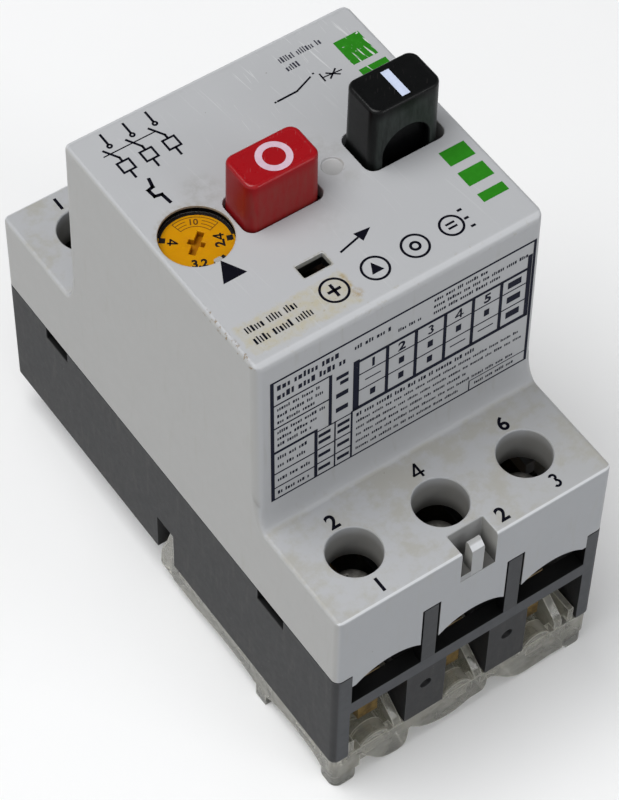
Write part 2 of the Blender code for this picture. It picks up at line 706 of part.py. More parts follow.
def bimetal(number, x):
    strip = box((x + 2.6, x + 3.35), (-16.6, -11.4), (33.8, 62.6))
    piece(f"bimetal_{number}", strip, STEEL, origin=(x + 3.0, -14.0, 34.5), smooth=False)


# ---- terminals ------------------------------------------------------------
def terminal_screw(number, x, y):
    shank = cylinder((x, y), (27.8, 33.0), 1.7, 16)
    steps = [
        (ADD, cylinder((x, y), (32.3, 34.7), 3.0, 24)),  # head
        # cross slots, the one along X running right across the head
        (CUT, box(around(x, 2.6), around(y, 0.45), (33.4, 36))),
        (CUT, box(around(x, 0.45), around(y, 1.9), (33.4, 36))),
    ]
    piece(f"terminal_screw_{number}", combine(shank, steps), ZINC, origin=(x, y, 33.0))


def wire_clamp(number, x, y):
    cage = box(around(x, 4.4), around(y, 3.1), (18.4, 29.6))
    steps = [
        (CUT, box(around(x, 3.2), around(y, 5), (20.0, 28.0))),
        (CUT, cylinder((x, y), (26.5, 31.0), 1.95, 20)),
    ]
    if y < 0:
        # guide tongue outside the cage, hanging down into the load end chamber
        tongue_x = (x - 1.9, x + 1.4)
        steps.append((ADD, box(tongue_x, (y - 5.0, y - 2.6), (18.4, 20.0))))
        steps.append((ADD, box(tongue_x, (y - 5.0, y - 3.9), (8.9, 19.2))))
    piece(f"wire_clamp_{number}", combine(cage, steps), BRASS, origin=(x, y, 24.0))


# ---- rail clip ------------------------------------------------------------
CLIP_Z = 5.5           # mid height of the clip and axis of its spring


def rail_clip():
    bar = box((-2.9, 2.9), (-32.0, 3.9), (4.9, 6.1))
    steps = [
        (CUT, box((-1.8, 1.8), (-18.4, -7.2), (4.0, 7.0))),  # spring window
        (CUT, cylinder((0, -29.0), (4.0, 7.0), 1.3, 16)),  # round hole near the load end
    ]
    piece("rail_clip", combine(bar, steps), BLACK, origin=(0, 3.0, CLIP_Z))


def rail_spring():
    coil = spring(0, 0, (0.0, 4.2), 0.72, wire=0.16, turns=4, per_turn=8)
    # lay the coil down along +Y, from the seat lug on
    lie_down = Matrix.Rotation(math.radians(-90), 4, "X")
    coil.data.transform(Matrix.Translation(Vector((0, -14.3, CLIP_Z)) * MM) @ lie_down)
    piece("rail_spring", coil, ZINC)


# ---- assembly -------------------------------------------------------------
front_cover()
base_housing()
rear_cover()
stop_button()
start_button()
setting_dial()
adjusting_lever()
mechanism_frame()
latch_lever()
axle("latch_axle", LATCH_AXIS, (-9.9, -0.5))
trip_bar()
axle("trip_bar_axle", TRIP_AXIS, (-19.7, 19.7))
trip_lever()
trip_slide()
contact_carrier()
button_spring("start_spring", START_X, top=71.1)
button_spring("stop_spring", STOP_X, top=72.3)
for number, pole_x in enumerate(POLES, 1):
    moving_contact(number, pole_x)
    contact_spring(number, pole_x)
    terminal_bars(number, pole_x)
    magnet_coil(number, pole_x)
    magnet_yoke(number, pole_x)
    magnet_plunger(number, pole_x)
    bimetal(number, pole_x)
    # terminals 1 to 3 are at the load end, 4 to 6 at the line end
    for first, y in ((0, -TERM_Y), (len(POLES), TERM_Y)):
        terminal_screw(first + number, pole_x, y)
        wire_clamp(first + number, pole_x, y)
rail_clip()
rail_spring()
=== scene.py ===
"""Three-pole switch with a stop and a start button, a setting dial and six terminal screws.

X runs across the poles and Y along the length. The low side is at z = 0 and the face with the
buttons is at TOP_Z. The rating label is on the -Y wall of the raised block.
Sizes are in millimetres and become metres where vertices are made.
"""
import json
import math
import random
from contextlib import contextmanager
from functools import cached_property

import bmesh
import bpy
from mathutils import Matrix, Vector


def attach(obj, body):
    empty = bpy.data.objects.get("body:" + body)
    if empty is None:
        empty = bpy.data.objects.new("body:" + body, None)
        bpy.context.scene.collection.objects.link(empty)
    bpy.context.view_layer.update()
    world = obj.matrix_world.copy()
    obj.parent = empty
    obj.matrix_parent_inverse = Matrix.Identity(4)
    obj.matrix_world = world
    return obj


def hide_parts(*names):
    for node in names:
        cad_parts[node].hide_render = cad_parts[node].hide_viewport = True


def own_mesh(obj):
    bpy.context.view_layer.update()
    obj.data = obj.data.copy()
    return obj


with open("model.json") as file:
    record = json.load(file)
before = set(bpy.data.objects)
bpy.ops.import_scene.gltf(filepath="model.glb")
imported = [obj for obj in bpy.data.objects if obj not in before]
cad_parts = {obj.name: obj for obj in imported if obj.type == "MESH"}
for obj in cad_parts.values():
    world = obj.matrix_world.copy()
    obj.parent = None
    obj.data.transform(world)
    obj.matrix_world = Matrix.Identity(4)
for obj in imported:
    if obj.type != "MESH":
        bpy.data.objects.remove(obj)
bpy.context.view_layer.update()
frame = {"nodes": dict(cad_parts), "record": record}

MM = 0.001
SCENE = bpy.context.scene
SIDES = (-1, 1)

# ---- driving dimensions ----------------------------------------------------
HALF_W, HALF_L = 22.5, 41.4
TOP_Z, LEDGE_Z, SEAT_Z = 77.2, 43.15, 7.5
SPLIT_Z, COVER_END_Z = 28.7, 25.9      # lower edge of the cover at its sides and at its ends
SHELF_Z0, SHELF_Z1 = 18.9, 21.5        # shelf across each end of the housing
INNER_X = 20.2                         # half width of the cover's hollow
WALL_TOP_Y = 22.4                      # block wall at TOP_Z
KNEE_Y, KNEE_Z = 22.95, 50.0           # where the wall's slope changes
FOOT_Y, FOOT_Z = 23.0, 48.0            # where the wall starts to curve out to the ledge
POLE_PITCH = 14.0
POLES = (-POLE_PITCH, 0.0, POLE_PITCH)
BARRIERS = (-POLE_PITCH / 2, POLE_PITCH / 2)
TERM_Y = 33.0
STOP_X, START_X, BUTTON_Y = -5.2, 13.6, -0.7
STOP_TOP, START_TOP = 85.5, 87.8
DIAL_X, DIAL_Y, DIAL_R, DIAL_TOP = -16.6, -0.45, 5.0, 75.75
DIMPLE_X, DIMPLE_Y = 4.4, -0.57        # round dimple between the buttons


# ==========================================================================
# outlines
# ==========================================================================
def arc_points(cx, cy, radius_x, radius_y, degrees):
    angles = [math.radians(angle) for angle in degrees]
    return [(cx + radius_x * math.cos(a), cy + radius_y * math.sin(a)) for a in angles]


def rounded(x0, x1, y0, y1, radius, segments):
    """Rectangle with round corners, each corner in so many segments."""
    left, right, low, high = x0 + radius, x1 - radius, y0 + radius, y1 - radius
    points = []
    for cx, cy, start in ((right, high, 0), (left, high, 90), (left, low, 180), (right, low, 270)):
        degrees = [start + 90 * i / segments for i in range(segments + 1)]
        points += arc_points(cx, cy, radius, radius, degrees)
    return points


def growing(x0, x1, y0, y1, radius, segments):
    """Function that gives the rounded rectangle grown outwards by a distance."""
    x0, x1 = sorted((x0, x1))
    y0, y1 = sorted((y0, y1))
    return lambda g: rounded(x0 - g, x1 + g, y0 - g, y1 + g, radius + g, segments)


def rectangle(x0, x1, y0, y1):
    return [(x0, y0), (x1, y0), (x1, y1), (x0, y1)]


def circle(cx, cy, radius, count):
    angles = [2 * math.pi * i / count for i in range(count)]
    return [(cx + radius * math.cos(a), cy + radius * math.sin(a)) for a in angles]


def mirrored(points, side):
    return [(side * u, v) for u, v in points]


# ==========================================================================
# solids
# ==========================================================================
def mesh_object(name, bm):
    bmesh.ops.recalc_face_normals(bm, faces=bm.faces)
    mesh = bpy.data.meshes.new(name)
    bm.to_mesh(mesh)
    bm.free()
    obj = bpy.data.objects.new(name, mesh)
    SCENE.collection.objects.link(obj)
    return obj


@contextmanager
def editing(mesh):
    bm = bmesh.new()
    bm.from_mesh(mesh)
    yield bm
    bm.to_mesh(mesh)
    bm.free()


def put(axis, u, v, along):
    """Point of an outline that is swept along an axis, in metres."""
    if axis == "Z":
        return Vector((u, v, along)) * MM
    if axis == "X":
        return Vector((along, u, v)) * MM
    return Vector((u, along, v)) * MM


def bridge(bm, first, second):
    """Faces between two rings; a ring of one vertex is the tip of a fan."""
    count = max(len(first), len(second))
    for i in range(count):
        j = (i + 1) % count
        if len(first) == 1:
            bm.faces.new((first[0], second[i], second[j]))
        elif len(second) == 1:
            bm.faces.new((first[i], second[0], first[j]))
        else:
            bm.faces.new((first[i], second[i], second[j], first[j]))


def skin(bm, rings):
    """Closed skin: both end caps and the sides."""
    bm.faces.new(rings[0])
    bm.faces.new(list(reversed(rings[-1])))
    for first, second in zip(rings, rings[1:]):
        bridge(bm, first, second)


def loft(sections, axis="Z"):
    """Solid through (outline, height) sections with equal point counts."""
    bm = bmesh.new()
    skin(bm, [[bm.verts.new(put(axis, u, v, t)) for u, v in points] for points, t in sections])
    return mesh_object("tmp", bm)


def prism(points, axis, start, end):
    return loft([(points, min(start, end)), (points, max(start, end))], axis)


def box(x0, x1, y0, y1, z0, z1, r=0.0, seg=3, which=None):
    """Box from limits in any order; r bevels the edges that which() accepts, or all."""
    obj = prism(rectangle(*sorted((x0, x1)), *sorted((y0, y1))), "Z", z0, z1)
    if r:
        with editing(obj.data) as bm:
            edges = [e for e in bm.edges if which is None or which(e)]
            bmesh.ops.bevel(
                bm, geom=edges, offset=r * MM, segments=seg, profile=0.5, affect="EDGES"
            )
            bmesh.ops.recalc_face_normals(bm, faces=bm.faces)
    return obj


def vertical(edge):
    a, b = edge.verts[0].co, edge.verts[1].co
    return abs(a.z - b.z) > 1e-6 and abs(a.x - b.x) < 1e-7 and abs(a.y - b.y) < 1e-7


def lathe(cx, cy, profile, count, axis="Z"):
    """Turned solid from (radius, height) pairs; a radius of 0 closes the end on the axis."""
    bm = bmesh.new()
    rings = []
    for radius, height in profile:
        points = circle(cx, cy, radius, count) if radius else [(cx, cy)]
        rings.append([bm.verts.new(put(axis, u, v, height)) for u, v in points])
    for first, second in zip(rings, rings[1:]):
        bridge(bm, first, second)
    return mesh_object("tmp", bm)


def cylinder(cx, cy, start, end, radius, count, axis="Z"):
    start, end = sorted((start, end))
    return lathe(cx, cy, [(0, start), (radius, start), (radius, end), (0, end)], count, axis)


def flared(outline, floor, face, flare, above):
    """Cutter for a pocket with a quarter-round lip. outline(growth) gives the points."""
    steps = 4
    sections = [(outline(0.0), floor), (outline(0.0), face - flare)]
    for i in range(1, steps):
        a = math.pi / 2 * i / steps
        lip = outline(flare * (1 - math.cos(a)))
        sections.append((lip, face - flare + flare * math.sin(a)))
    sections.append((outline(flare * 2.2), face + flare * 0.8))
    sections.append((outline(flare * 2.2 + 0.01), face + above))
    return loft(sections)


def join(objects):
    """One tool from several that don't touch."""
    bm = bmesh.new()
    for obj in objects:
        bm.from_mesh(obj.data)
        bpy.data.objects.remove(obj, do_unlink=True)
    return mesh_object("tmp", bm)


def apply_modifiers(obj, tools=()):
    graph = bpy.context.evaluated_depsgraph_get()
    shape = bpy.data.meshes.new_from_object(obj.evaluated_get(graph))
    obj.modifiers.clear()
    old = obj.data
    obj.data = shape
    bpy.data.meshes.remove(old)
    for tool in tools:
        bpy.data.objects.remove(tool, do_unlink=True)
    return obj


class Solid:
    """A base object and the tools that are added to it or cut from it, in order."""

    def __init__(self, base):
        self.base = base
        self.tools = []

    def boolean(self, operation, tools):
        for tool in tools:
            mod = self.base.modifiers.new("shape", "BOOLEAN")
            mod.operation = operation
            mod.solver = "EXACT"
            mod.object = tool
            self.tools.append(tool)

    def add(self, *tools):
        self.boolean("UNION", tools)

    def cut(self, *tools):
        self.boolean("DIFFERENCE", tools)

    def apply(self):
        return apply_modifiers(self.base, self.tools)


def tidy(obj):
    with editing(obj.data) as bm:
        bmesh.ops.remove_doubles(bm, verts=bm.verts, dist=1e-6)
        bmesh.ops.dissolve_degenerate(bm, edges=bm.edges, dist=1e-7)
        bmesh.ops.recalc_face_normals(bm, faces=bm.faces)


def round_edges(obj, width, segments, angle):
    tidy(obj)
    mod = obj.modifiers.new("round", "BEVEL")
    mod.width = width * MM
    mod.segments = segments
    mod.limit_method = "ANGLE"
    mod.angle_limit = math.radians(angle)
    mod.miter_outer = "MITER_ARC"
    return apply_modifiers(obj)


def dress(obj, name, body, slot, node=None, material=None, sharp=35, weighted=True, clean=True):
    """Names a finished piece, shades it, gives it its material and puts it on its body."""
    if clean:
        tidy(obj)
    obj.name = name
    obj.data.name = name
    obj.data.materials.clear()
    obj.data.materials.append(MATERIALS[material or slot])
    obj.data.shade_smooth()
    obj.data.set_sharp_from_angle(angle=math.radians(sharp))
    if weighted:
        mod = obj.modifiers.new("normals", "WEIGHTED_NORMAL")
        mod.keep_sharp = True
        mod.weight = 60
    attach(obj, body)
    if node:
        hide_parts(node)
    return obj


# ==========================================================================
# material builder
# ==========================================================================
MATERIALS = {}
FAR = 999  # stands for no limit in a range


def tinted(colour, gain, lift=0.0):
    return tuple(min(1.0, c * gain + lift) for c in colour)


class Surface:
    """Node material built up in layers of paint. Positions are in millimetres."""

    def __init__(self, name, colour):
        self.name = name
        self.colour = colour
        self.relief = None
        self.material = bpy.data.materials.new(name)
        self.material.use_nodes = True
        self.tree = self.material.node_tree
        self.shader = self.tree.nodes["Principled BSDF"]
        self.coords = self.node("TexCoord", {})
        source = {"Vector": self.coords.outputs["Object"], "Scale": (1000, 1000, 1000)}
        self.position = self.node("Mapping", source).outputs[0]

    def link(self, value, socket):
        if hasattr(value, "is_output"):
            self.tree.links.new(value, socket)
            return
        if isinstance(value, tuple) and len(value) == 3 and socket.type == "RGBA":
            value = (*value, 1.0)
        socket.default_value = value

    def node(self, kind, inputs, **settings):
        node = self.tree.nodes.new("ShaderNode" + kind)
        for name, value in settings.items():
            setattr(node, name, value)
        for key, value in inputs.items():
            self.link(value, node.inputs[key])
        return node

    @cached_property
    def xyz(self):
        return tuple(self.node("SeparateXYZ", {0: self.position}).outputs)

    @cached_property
    def normal(self):
        return tuple(self.node("SeparateXYZ", {0: self.coords.outputs["Normal"]}).outputs)

    # ---- arithmetic ----
    def math(self, operation, a, b=0.0, c=0.0, clamp=False):
        inputs = {0: a, 1: b, 2: c}
        return self.node("Math", inputs, operation=operation, use_clamp=clamp).outputs[0]

    def add(self, a, b, clamp=False):
        return self.math("ADD", a, b, clamp=clamp)

    def mul(self, first, *others):
        for other in others:
            first = self.math("MULTIPLY", first, other)
        return first

    def most(self, first, *others):
        for other in others:
            first = self.math("MAXIMUM", first, other)
        return first

    def absolute(self, a):
        return self.math("ABSOLUTE", a)

    def inverse(self, a):
        return self.math("SUBTRACT", 1.0, a)

    def between(self, mask, low, high):
        """low where the mask is 0, high where it is 1."""
        return self.math("MULTIPLY_ADD", mask, high - low, low)

    # ---- masks, from 0 to 1 ----
    def step(self, value, none, full):
        """Smooth 0 to 1 as value goes from none to full, upwards or downwards."""
        falling = none > full
        inputs = {
            "Value": value,
            "From Min": min(none, full),
            "From Max": max(none, full),
            "To Min": 1.0 if falling else 0.0,
            "To Max": 0.0 if falling else 1.0,
        }
        node = self.node("MapRange", inputs, interpolation_type="SMOOTHSTEP")
        return node.outputs["Result"]

    def band(self, value, low, high, soft):
        rise = self.step(value, low - soft, low + soft)
        return self.mul(rise, self.step(value, high + soft, high - soft))

    def area(self, soft, wobble=None, **ranges):
        """Block with soft limits; x, y and z take (low, high)."""
        bands = []
        for axis, value in zip("xyz", self.xyz):
            if axis in ranges:
                if wobble is not None:
                    value = self.add(value, wobble)
                bands.append(self.band(value, *ranges[axis], soft))
        return self.mul(*bands)

    def spot(self, x, y, full, none):
        """Upright round spot: 1 inside the radius full, 0 outside the radius none."""
        flat = self.node("CombineXYZ", {0: self.xyz[0], 1: self.xyz[1]}).outputs[0]
        away = self.node("VectorMath", {0: flat, 1: (x, y, 0)}, operation="DISTANCE")
        return self.step(away.outputs["Value"], none, full)

    def noise(self, scale, detail=4.0, rough=0.6, stretch=None, angle=0.0):
        """Noise; stretch scales the three axes after a turn by angle about Z."""
        vector = self.position
        if stretch:
            turn = {"Vector": vector, "Angle": math.radians(angle)}
            turned = self.node("VectorRotate", turn, rotation_type="Z_AXIS").outputs[0]
            vector = self.node("Mapping", {"Vector": turned, "Scale": stretch}).outputs[0]
        inputs = {"Vector": vector, "Scale": scale, "Detail": detail, "Roughness": rough}
        return self.node("TexNoise", inputs).outputs[0]

    def patches(self, scale, none, full, **noise):
        return self.step(self.noise(scale, **noise), none, full)

    def specks(self, cell, size, share):
        """Small round specks, one per cell of a grid, in a share of the cells."""
        node = self.node("TexVoronoi", {"Vector": self.position, "Scale": 1.0 / cell})
        near = self.step(node.outputs["Distance"], size / cell, size / cell * 0.55)
        chance = self.node("SeparateColor", {0: node.outputs["Color"]}).outputs[0]
        return self.mul(near, self.step(chance, 1 - share, 1 - share + 0.02))

    def edges(self, radius, samples=4):
        """About 1 on edges and corners, 0 on flat faces."""
        bevel = self.node("Bevel", {"Radius": radius * MM}, samples=samples).outputs[0]
        flat = self.node("NewGeometry", {}).outputs["Normal"]
        dot = self.node("VectorMath", {0: bevel, 1: flat}, operation="DOT_PRODUCT")
        return self.step(dot.outputs["Value"], 0.985, 0.80)

    # ---- layers ----
    def paint(self, tone, *masks, share=None):
        """Lays a colour over the last one, where all the masks are, at a share of its strength."""
        if share is not None:
            masks += (share,)
        inputs = {0: self.mul(*masks), 6: self.colour, 7: tone}
        self.colour = self.node("Mix", inputs, data_type="RGBA").outputs[2]

    def bump(self, height, depth, strength):
        inputs = {"Distance": depth * MM, "Strength": strength, "Height": height}
        if self.relief:
            inputs["Normal"] = self.relief
        self.relief = self.node("Bump", inputs).outputs[0]

    def finish(self, rough, metal=0.0, **inputs):
        inputs.update(Base_Color=self.colour, Roughness=rough, Metallic=metal)
        if self.relief:
            inputs["Normal"] = self.relief
        for name, value in inputs.items():
            self.link(value, self.shader.inputs[name.replace("_", " ")])
        MATERIALS[self.name] = self.material
        return self.material


# ==========================================================================
# cover plastic
# ==========================================================================
# x, y, full radius, outer radius, strength of each smudge on the top face
SMUDGES = (
    (-11.9, 5.2, 0.5, 4.4, 0.80),
    (4.2, 3.2, 0.4, 3.4, 0.7),
    (5.2, -3.0, 0.2, 3.2, 0.45),
    (6.3, 1.5, 0.2, 2.6, 0.65),
    (-1.5, -7.5, 0.2, 4.5, 0.30),
)


def paint_top_stains(mat):
    """Yellow adhesive, its brown corner and the smudges; gives three masks for the finish."""
    z = mat.xyz[2]
    wobble = mat.between(mat.noise(0.9, detail=5), -1.2, 1.2)
    patch = mat.area(
        x=(-21.2, -4.9), y=(-20.7, -15.3), z=(76.5, 78), soft=0.35, wobble=wobble
    )
    blots = mat.patches(0.75, 0.38, 0.68, detail=5, rough=0.65)
    mat.paint((0.43, 0.395, 0.285), patch, mat.between(blots, 0.30, 0.85))
    fleck = mat.mul(patch, mat.patches(2.6, 0.585, 0.70, rough=0.7))
    mat.paint((0.345, 0.275, 0.15), fleck, share=0.60)
    corner = mat.most(
        mat.spot(-5.0, -19.4, full=0.2, none=1.2),
        mat.area(x=(-5.35, -4.75), y=(-19.6, -15.8), soft=0.25),
    )
    torn = mat.patches(1.9, 0.33, 0.60, rough=0.7)
    mat.paint((0.33, 0.245, 0.12), corner, torn, mat.step(z, 76.6, 77.0), share=0.75)
    spots = [mat.mul(mat.spot(*place), strength) for *place, strength in SMUDGES]
    cloud = mat.patches(0.8, 0.30, 0.72, detail=5, rough=0.65)
    smudge = mat.mul(mat.most(*spots), cloud, mat.step(z, 76.0, 77.0))
    mat.paint((0.275, 0.265, 0.245), smudge, share=0.62)
    return patch, fleck, smudge


def paint_openings(mat):
    """Dirt at the foot of the dimple, on the wall of the dial opening and in the small slot; painted
    shade makes the dial opening black lower down and the slot's bottom near-black.
    """
    z = mat.xyz[2]
    black = (0.0025, 0.0025, 0.0025)
    dimple = mat.mul(mat.spot(DIMPLE_X, DIMPLE_Y, 1.5, 1.62), mat.step(z, 77.18, 77.0))
    mat.paint((0.29, 0.28, 0.26), dimple, share=0.35)
    wall = mat.mul(mat.spot(DIAL_X, DIAL_Y, 5.06, 5.22), mat.step(z, 77.25, 77.1))
    mat.paint((0.20, 0.165, 0.11), wall, mat.between(mat.noise(1.6), 0.5, 1.0))
    # painted shade: the dial opening black lower down
    dial_opening_shade = mat.mul(wall, mat.step(z, 76.92, 76.72))
    mat.paint(black, dial_opening_shade)
    rim = mat.mul(mat.spot(DIAL_X, DIAL_Y + 0.3, 5.0, 5.7), mat.patches(1.4, 0.38, 0.7))
    mat.paint((0.29, 0.26, 0.19), rim, mat.step(z, 76.9, 77.1), share=0.35)
    wobble = mat.between(mat.noise(2.2), -0.25, 0.25)
    slot = mat.area(x=(-9.35, -4.7), y=(-14.0, -11.4), soft=0.12, wobble=wobble)
    mat.paint((0.29, 0.275, 0.21), slot, mat.patches(1.7, 0.28, 0.6), share=0.62)
    # painted shade: the bottom of the small slot near-black
    mat.paint((0.006, 0.006, 0.006), slot, mat.step(z, 76.55, 76.25))
    return dial_opening_shade


def paint_ledges(mat, up, end):
    """Dust on the terminal ledges and grime at the wells; painted shade on the ledge tops towards +X,
    in the wells, snap pockets, side gaps and end slits. end is |y|.
    """
    x, _, z = mat.xyz
    ledge = mat.mul(up, mat.step(z, 44.0, 43.5))
    dusty = mat.mul(ledge, mat.patches(0.22, 0.42, 0.64, detail=5, rough=0.65))
    # painted shade: the ledge tops darker towards +X
    mat.paint((0.36, 0.36, 0.35), ledge, mat.step(x, -6.0, 20.0), share=0.30)
    mat.paint((0.355, 0.335, 0.275), dusty, share=0.55)
    # terminal wells: painted shade, the walls darker going down and near-black low down; grime around
    # the rims
    wells = mat.most(
        *[mat.spot(pole, y, full=3.95, none=4.6) for pole in POLES for y in (-TERM_Y, TERM_Y)]
    )
    mat.paint((0.245, 0.238, 0.220), wells, mat.step(z, 43.1, 41.0), share=0.75)
    mat.paint((0.035, 0.033, 0.030), wells, mat.step(z, 39.5, 36.6), share=0.85)
    grime = mat.mul(wells, mat.patches(1.2, 0.5, 0.72, detail=5, rough=0.7), ledge)
    mat.paint((0.29, 0.265, 0.215), grime, share=0.4)
    # snap pockets: painted shade, darker inside and darkest at the foot beside the tab
    pocket = mat.mul(
        mat.area(x=(-2.6, 3.3), z=(35, 43.1), soft=0.06),
        mat.step(end, 37.0, 37.7),
        mat.step(end, 41.39, 41.30),
    )
    mat.paint((0.31, 0.30, 0.27), pocket, share=0.35)
    tab = mat.mul(mat.area(x=(-0.75, 1.15), soft=0.05), mat.step(end, 39.7, 39.8))
    pocket_foot_shade = mat.mul(pocket, mat.inverse(tab), mat.step(z, 41.0, 37.4))
    mat.paint((0.060, 0.058, 0.055), pocket_foot_shade, share=0.86)
    # painted shade: near-black in the gaps along the sides and in the slits in the end walls
    gap = mat.mul(
        mat.step(mat.absolute(x), 22.0, 21.85),
        mat.step(z, 29.0, 28.6),
        mat.step(mat.absolute(x), 18.0, 18.4),
        mat.step(end, 33.5, 32.5),
    )
    mat.paint((0.004, 0.004, 0.004), gap)
    slit_shade = mat.mul(
        mat.step(end, 41.38, 41.30),
        mat.step(end, 38.0, 38.4),
        mat.step(z, 34.6, 34.52),
        mat.step(mat.absolute(x), 19.9, 19.7),
    )
    mat.paint((0.010, 0.010, 0.010), slit_shade, share=0.93)
    return dusty


def paint_scratches(mat):
    """Long light scratches on the top face, dense in two zones."""
    slanted = mat.noise(1.0, detail=2, rough=0.5, stretch=(2.6, 0.085, 1), angle=-6)
    crossing = mat.noise(1.0, detail=2, rough=0.5, stretch=(5.0, 0.14, 1), angle=3)
    face = {"z": (77.0, 77.4), "soft": 1.0}
    zone = mat.most(
        mat.area(x=(-2.5, 5.5), y=(8.5, 20), **face),
        mat.area(x=(7.0, 22.0), y=(11.5, 22.5), **face),
        mat.mul(mat.area(x=(-21, 21), y=(-21, 21), **face), 0.22),
    )
    lines = mat.most(mat.step(slanted, 0.672, 0.700), mat.step(crossing, 0.70, 0.728))
    scratch = mat.mul(lines, zone)
    mat.paint((0.72, 0.73, 0.73), scratch, share=0.9)
    return scratch


def paint_cover_wear(mat, end):
    """Specks, chips, worn edges and a painted highlight: a bright line on the long edges of block and
    ledges.
    """
    x, y, z = mat.xyz
    _, ny, nz = mat.normal
    dots = mat.most(mat.specks(1.9, 0.085, 0.22), mat.specks(3.3, 0.14, 0.16))
    mat.paint((0.20, 0.18, 0.15), dots, share=0.65)
    chips = mat.mul(
        mat.step(x, -21.6, -22.1),
        mat.band(y, -22.3, -9.5, soft=1.0),
        mat.band(z, 76.4, 77.6, soft=0.2),
        mat.patches(1.3, 0.54, 0.62, detail=5, rough=0.75),
    )
    mat.paint((0.23, 0.17, 0.10), chips, share=0.9)
    front = mat.mul(
        mat.band(y, -22.6, -21.2, soft=0.15),
        mat.step(z, 75.6, 76.2),
        mat.patches(1.1, 0.585, 0.66, detail=5, rough=0.75),
    )
    mat.paint((0.37, 0.35, 0.31), front, share=0.6)
    mat.paint((0.54, 0.54, 0.54), mat.edges(0.22), mat.noise(0.8, detail=3), share=0.30)
    # painted highlight: a bright line where the rounded long edges face up, fainter on the block than
    # on the ledges
    line = mat.mul(
        mat.band(mat.absolute(ny), 0.28, 0.80, soft=0.10),
        mat.band(nz, 0.50, 0.96, soft=0.06),
        mat.most(
            mat.mul(mat.step(z, 75.4, 75.8), 0.38),
            mat.mul(mat.step(z, 43.3, 43.2), mat.step(end, 40.4, 40.7), 0.9),
        ),
    )
    mat.paint((0.70, 0.71, 0.73), line, mat.between(mat.noise(0.5, detail=3), 0.75, 1.0))
    return chips


def cover_material():
    mat = Surface("cover_plastic", (0.445, 0.451, 0.464))
    y = mat.xyz[1]
    nx, ny, nz = mat.normal
    up = mat.step(nz, 0.6, 0.9)
    mat.paint((0.420, 0.426, 0.436), mat.noise(0.09, rough=0.55), share=0.6)
    # painted shade: faces turned to ±X darker and warmer
    mat.paint((0.402, 0.398, 0.384), mat.step(mat.absolute(nx), 0.5, 0.9), share=0.85)
    # painted shade: end walls below the ledges darker and cooler
    end_wall_shade = mat.mul(mat.step(mat.absolute(ny), 0.6, 0.95), mat.step(mat.absolute(y), 41.0, 41.3))
    mat.paint((0.368, 0.378, 0.395), end_wall_shade, mat.between(mat.noise(0.25), 0.8, 1.0))
    # faint vertical stains on the upright faces
    streak = mat.patches(0.9, 0.56, 0.75, detail=3, stretch=(1, 1, 0.12))
    mat.paint((0.35, 0.335, 0.295), streak, mat.inverse(up), share=0.22)
    patch, fleck, smudge = paint_top_stains(mat)
    dial_opening_shade = paint_openings(mat)
    end = mat.absolute(y)
    dusty = paint_ledges(mat, up, end)
    scratch = paint_scratches(mat)
    chips = paint_cover_wear(mat, end)

    rough = mat.between(mat.noise(0.55), 0.31, 0.47)
    rough = mat.add(rough, mat.mul(mat.most(patch, smudge, dusty), 0.16))
    rough = mat.add(rough, mat.mul(scratch, 0.15))
    mat.bump(mat.noise(5.5, detail=3), depth=0.012, strength=0.55)
    mat.bump(mat.noise(0.35, detail=2, rough=0.5), depth=0.05, strength=0.25)
    mat.bump(scratch, depth=-0.02, strength=0.7)
    mat.bump(mat.most(chips, fleck), depth=0.03, strength=0.6)
    shine = mat.between(mat.step(nz, 0.05, 0.5), 0.20, 0.45)
    mat.finish(rough, Specular_IOR_Level=mat.mul(mat.inverse(dial_opening_shade), shine))


# ==========================================================================
# other materials
# ==========================================================================
def paint_housing_bays(mat):
    """Pale end faces; painted shade: near-black bays in the ends and windows in the sides."""
    x, y, z = mat.xyz
    ny = mat.normal[1]
    end, wide = mat.absolute(y), mat.absolute(x)
    face = mat.mul(mat.step(mat.absolute(ny), 0.75, 0.95), mat.step(end, 41.2, 41.36))
    pale = mat.most(
        mat.step(wide, 19.7, 20.0),
        mat.band(z, SHELF_Z0, SHELF_Z1, soft=0.1),
        mat.mul(mat.step(z, 21.4, 21.6), 0.5),
    )
    mat.paint((0.088, 0.092, 0.100), face, pale, mat.between(mat.noise(0.7), 0.45, 1.0))
    # painted shade in the bays: |x| limits, z limits, colour and share of the upper and the lower
    # bays
    for across, height, tone, share in (
        ((19.95, 19.8), (21.40, 21.46), (0.0035, 0.0035, 0.0038), None),
        ((20.0, 19.85), (18.85, 18.7), (0.008, 0.008, 0.0085), 0.75),
    ):
        bay_shade = mat.mul(
            mat.step(wide, *across),
            mat.step(z, *height),
            mat.step(end, 37.6, 38.0),
            mat.step(end, 41.37, 41.30),
        )
        mat.paint(tone, bay_shade, share=share)
    # painted shade: near-black on the walls of the snap windows in the sides
    window_shade = mat.mul(
        mat.step(wide, 22.38, 22.30),
        mat.step(wide, 19.9, 20.0),
        mat.step(z, 26.0, 26.06),
        mat.most(mat.band(y, -29.12, -22.88, soft=0.05), mat.band(y, 25.38, 31.12, soft=0.05)),
    )
    mat.paint((0.0035, 0.0035, 0.0038), window_shade)


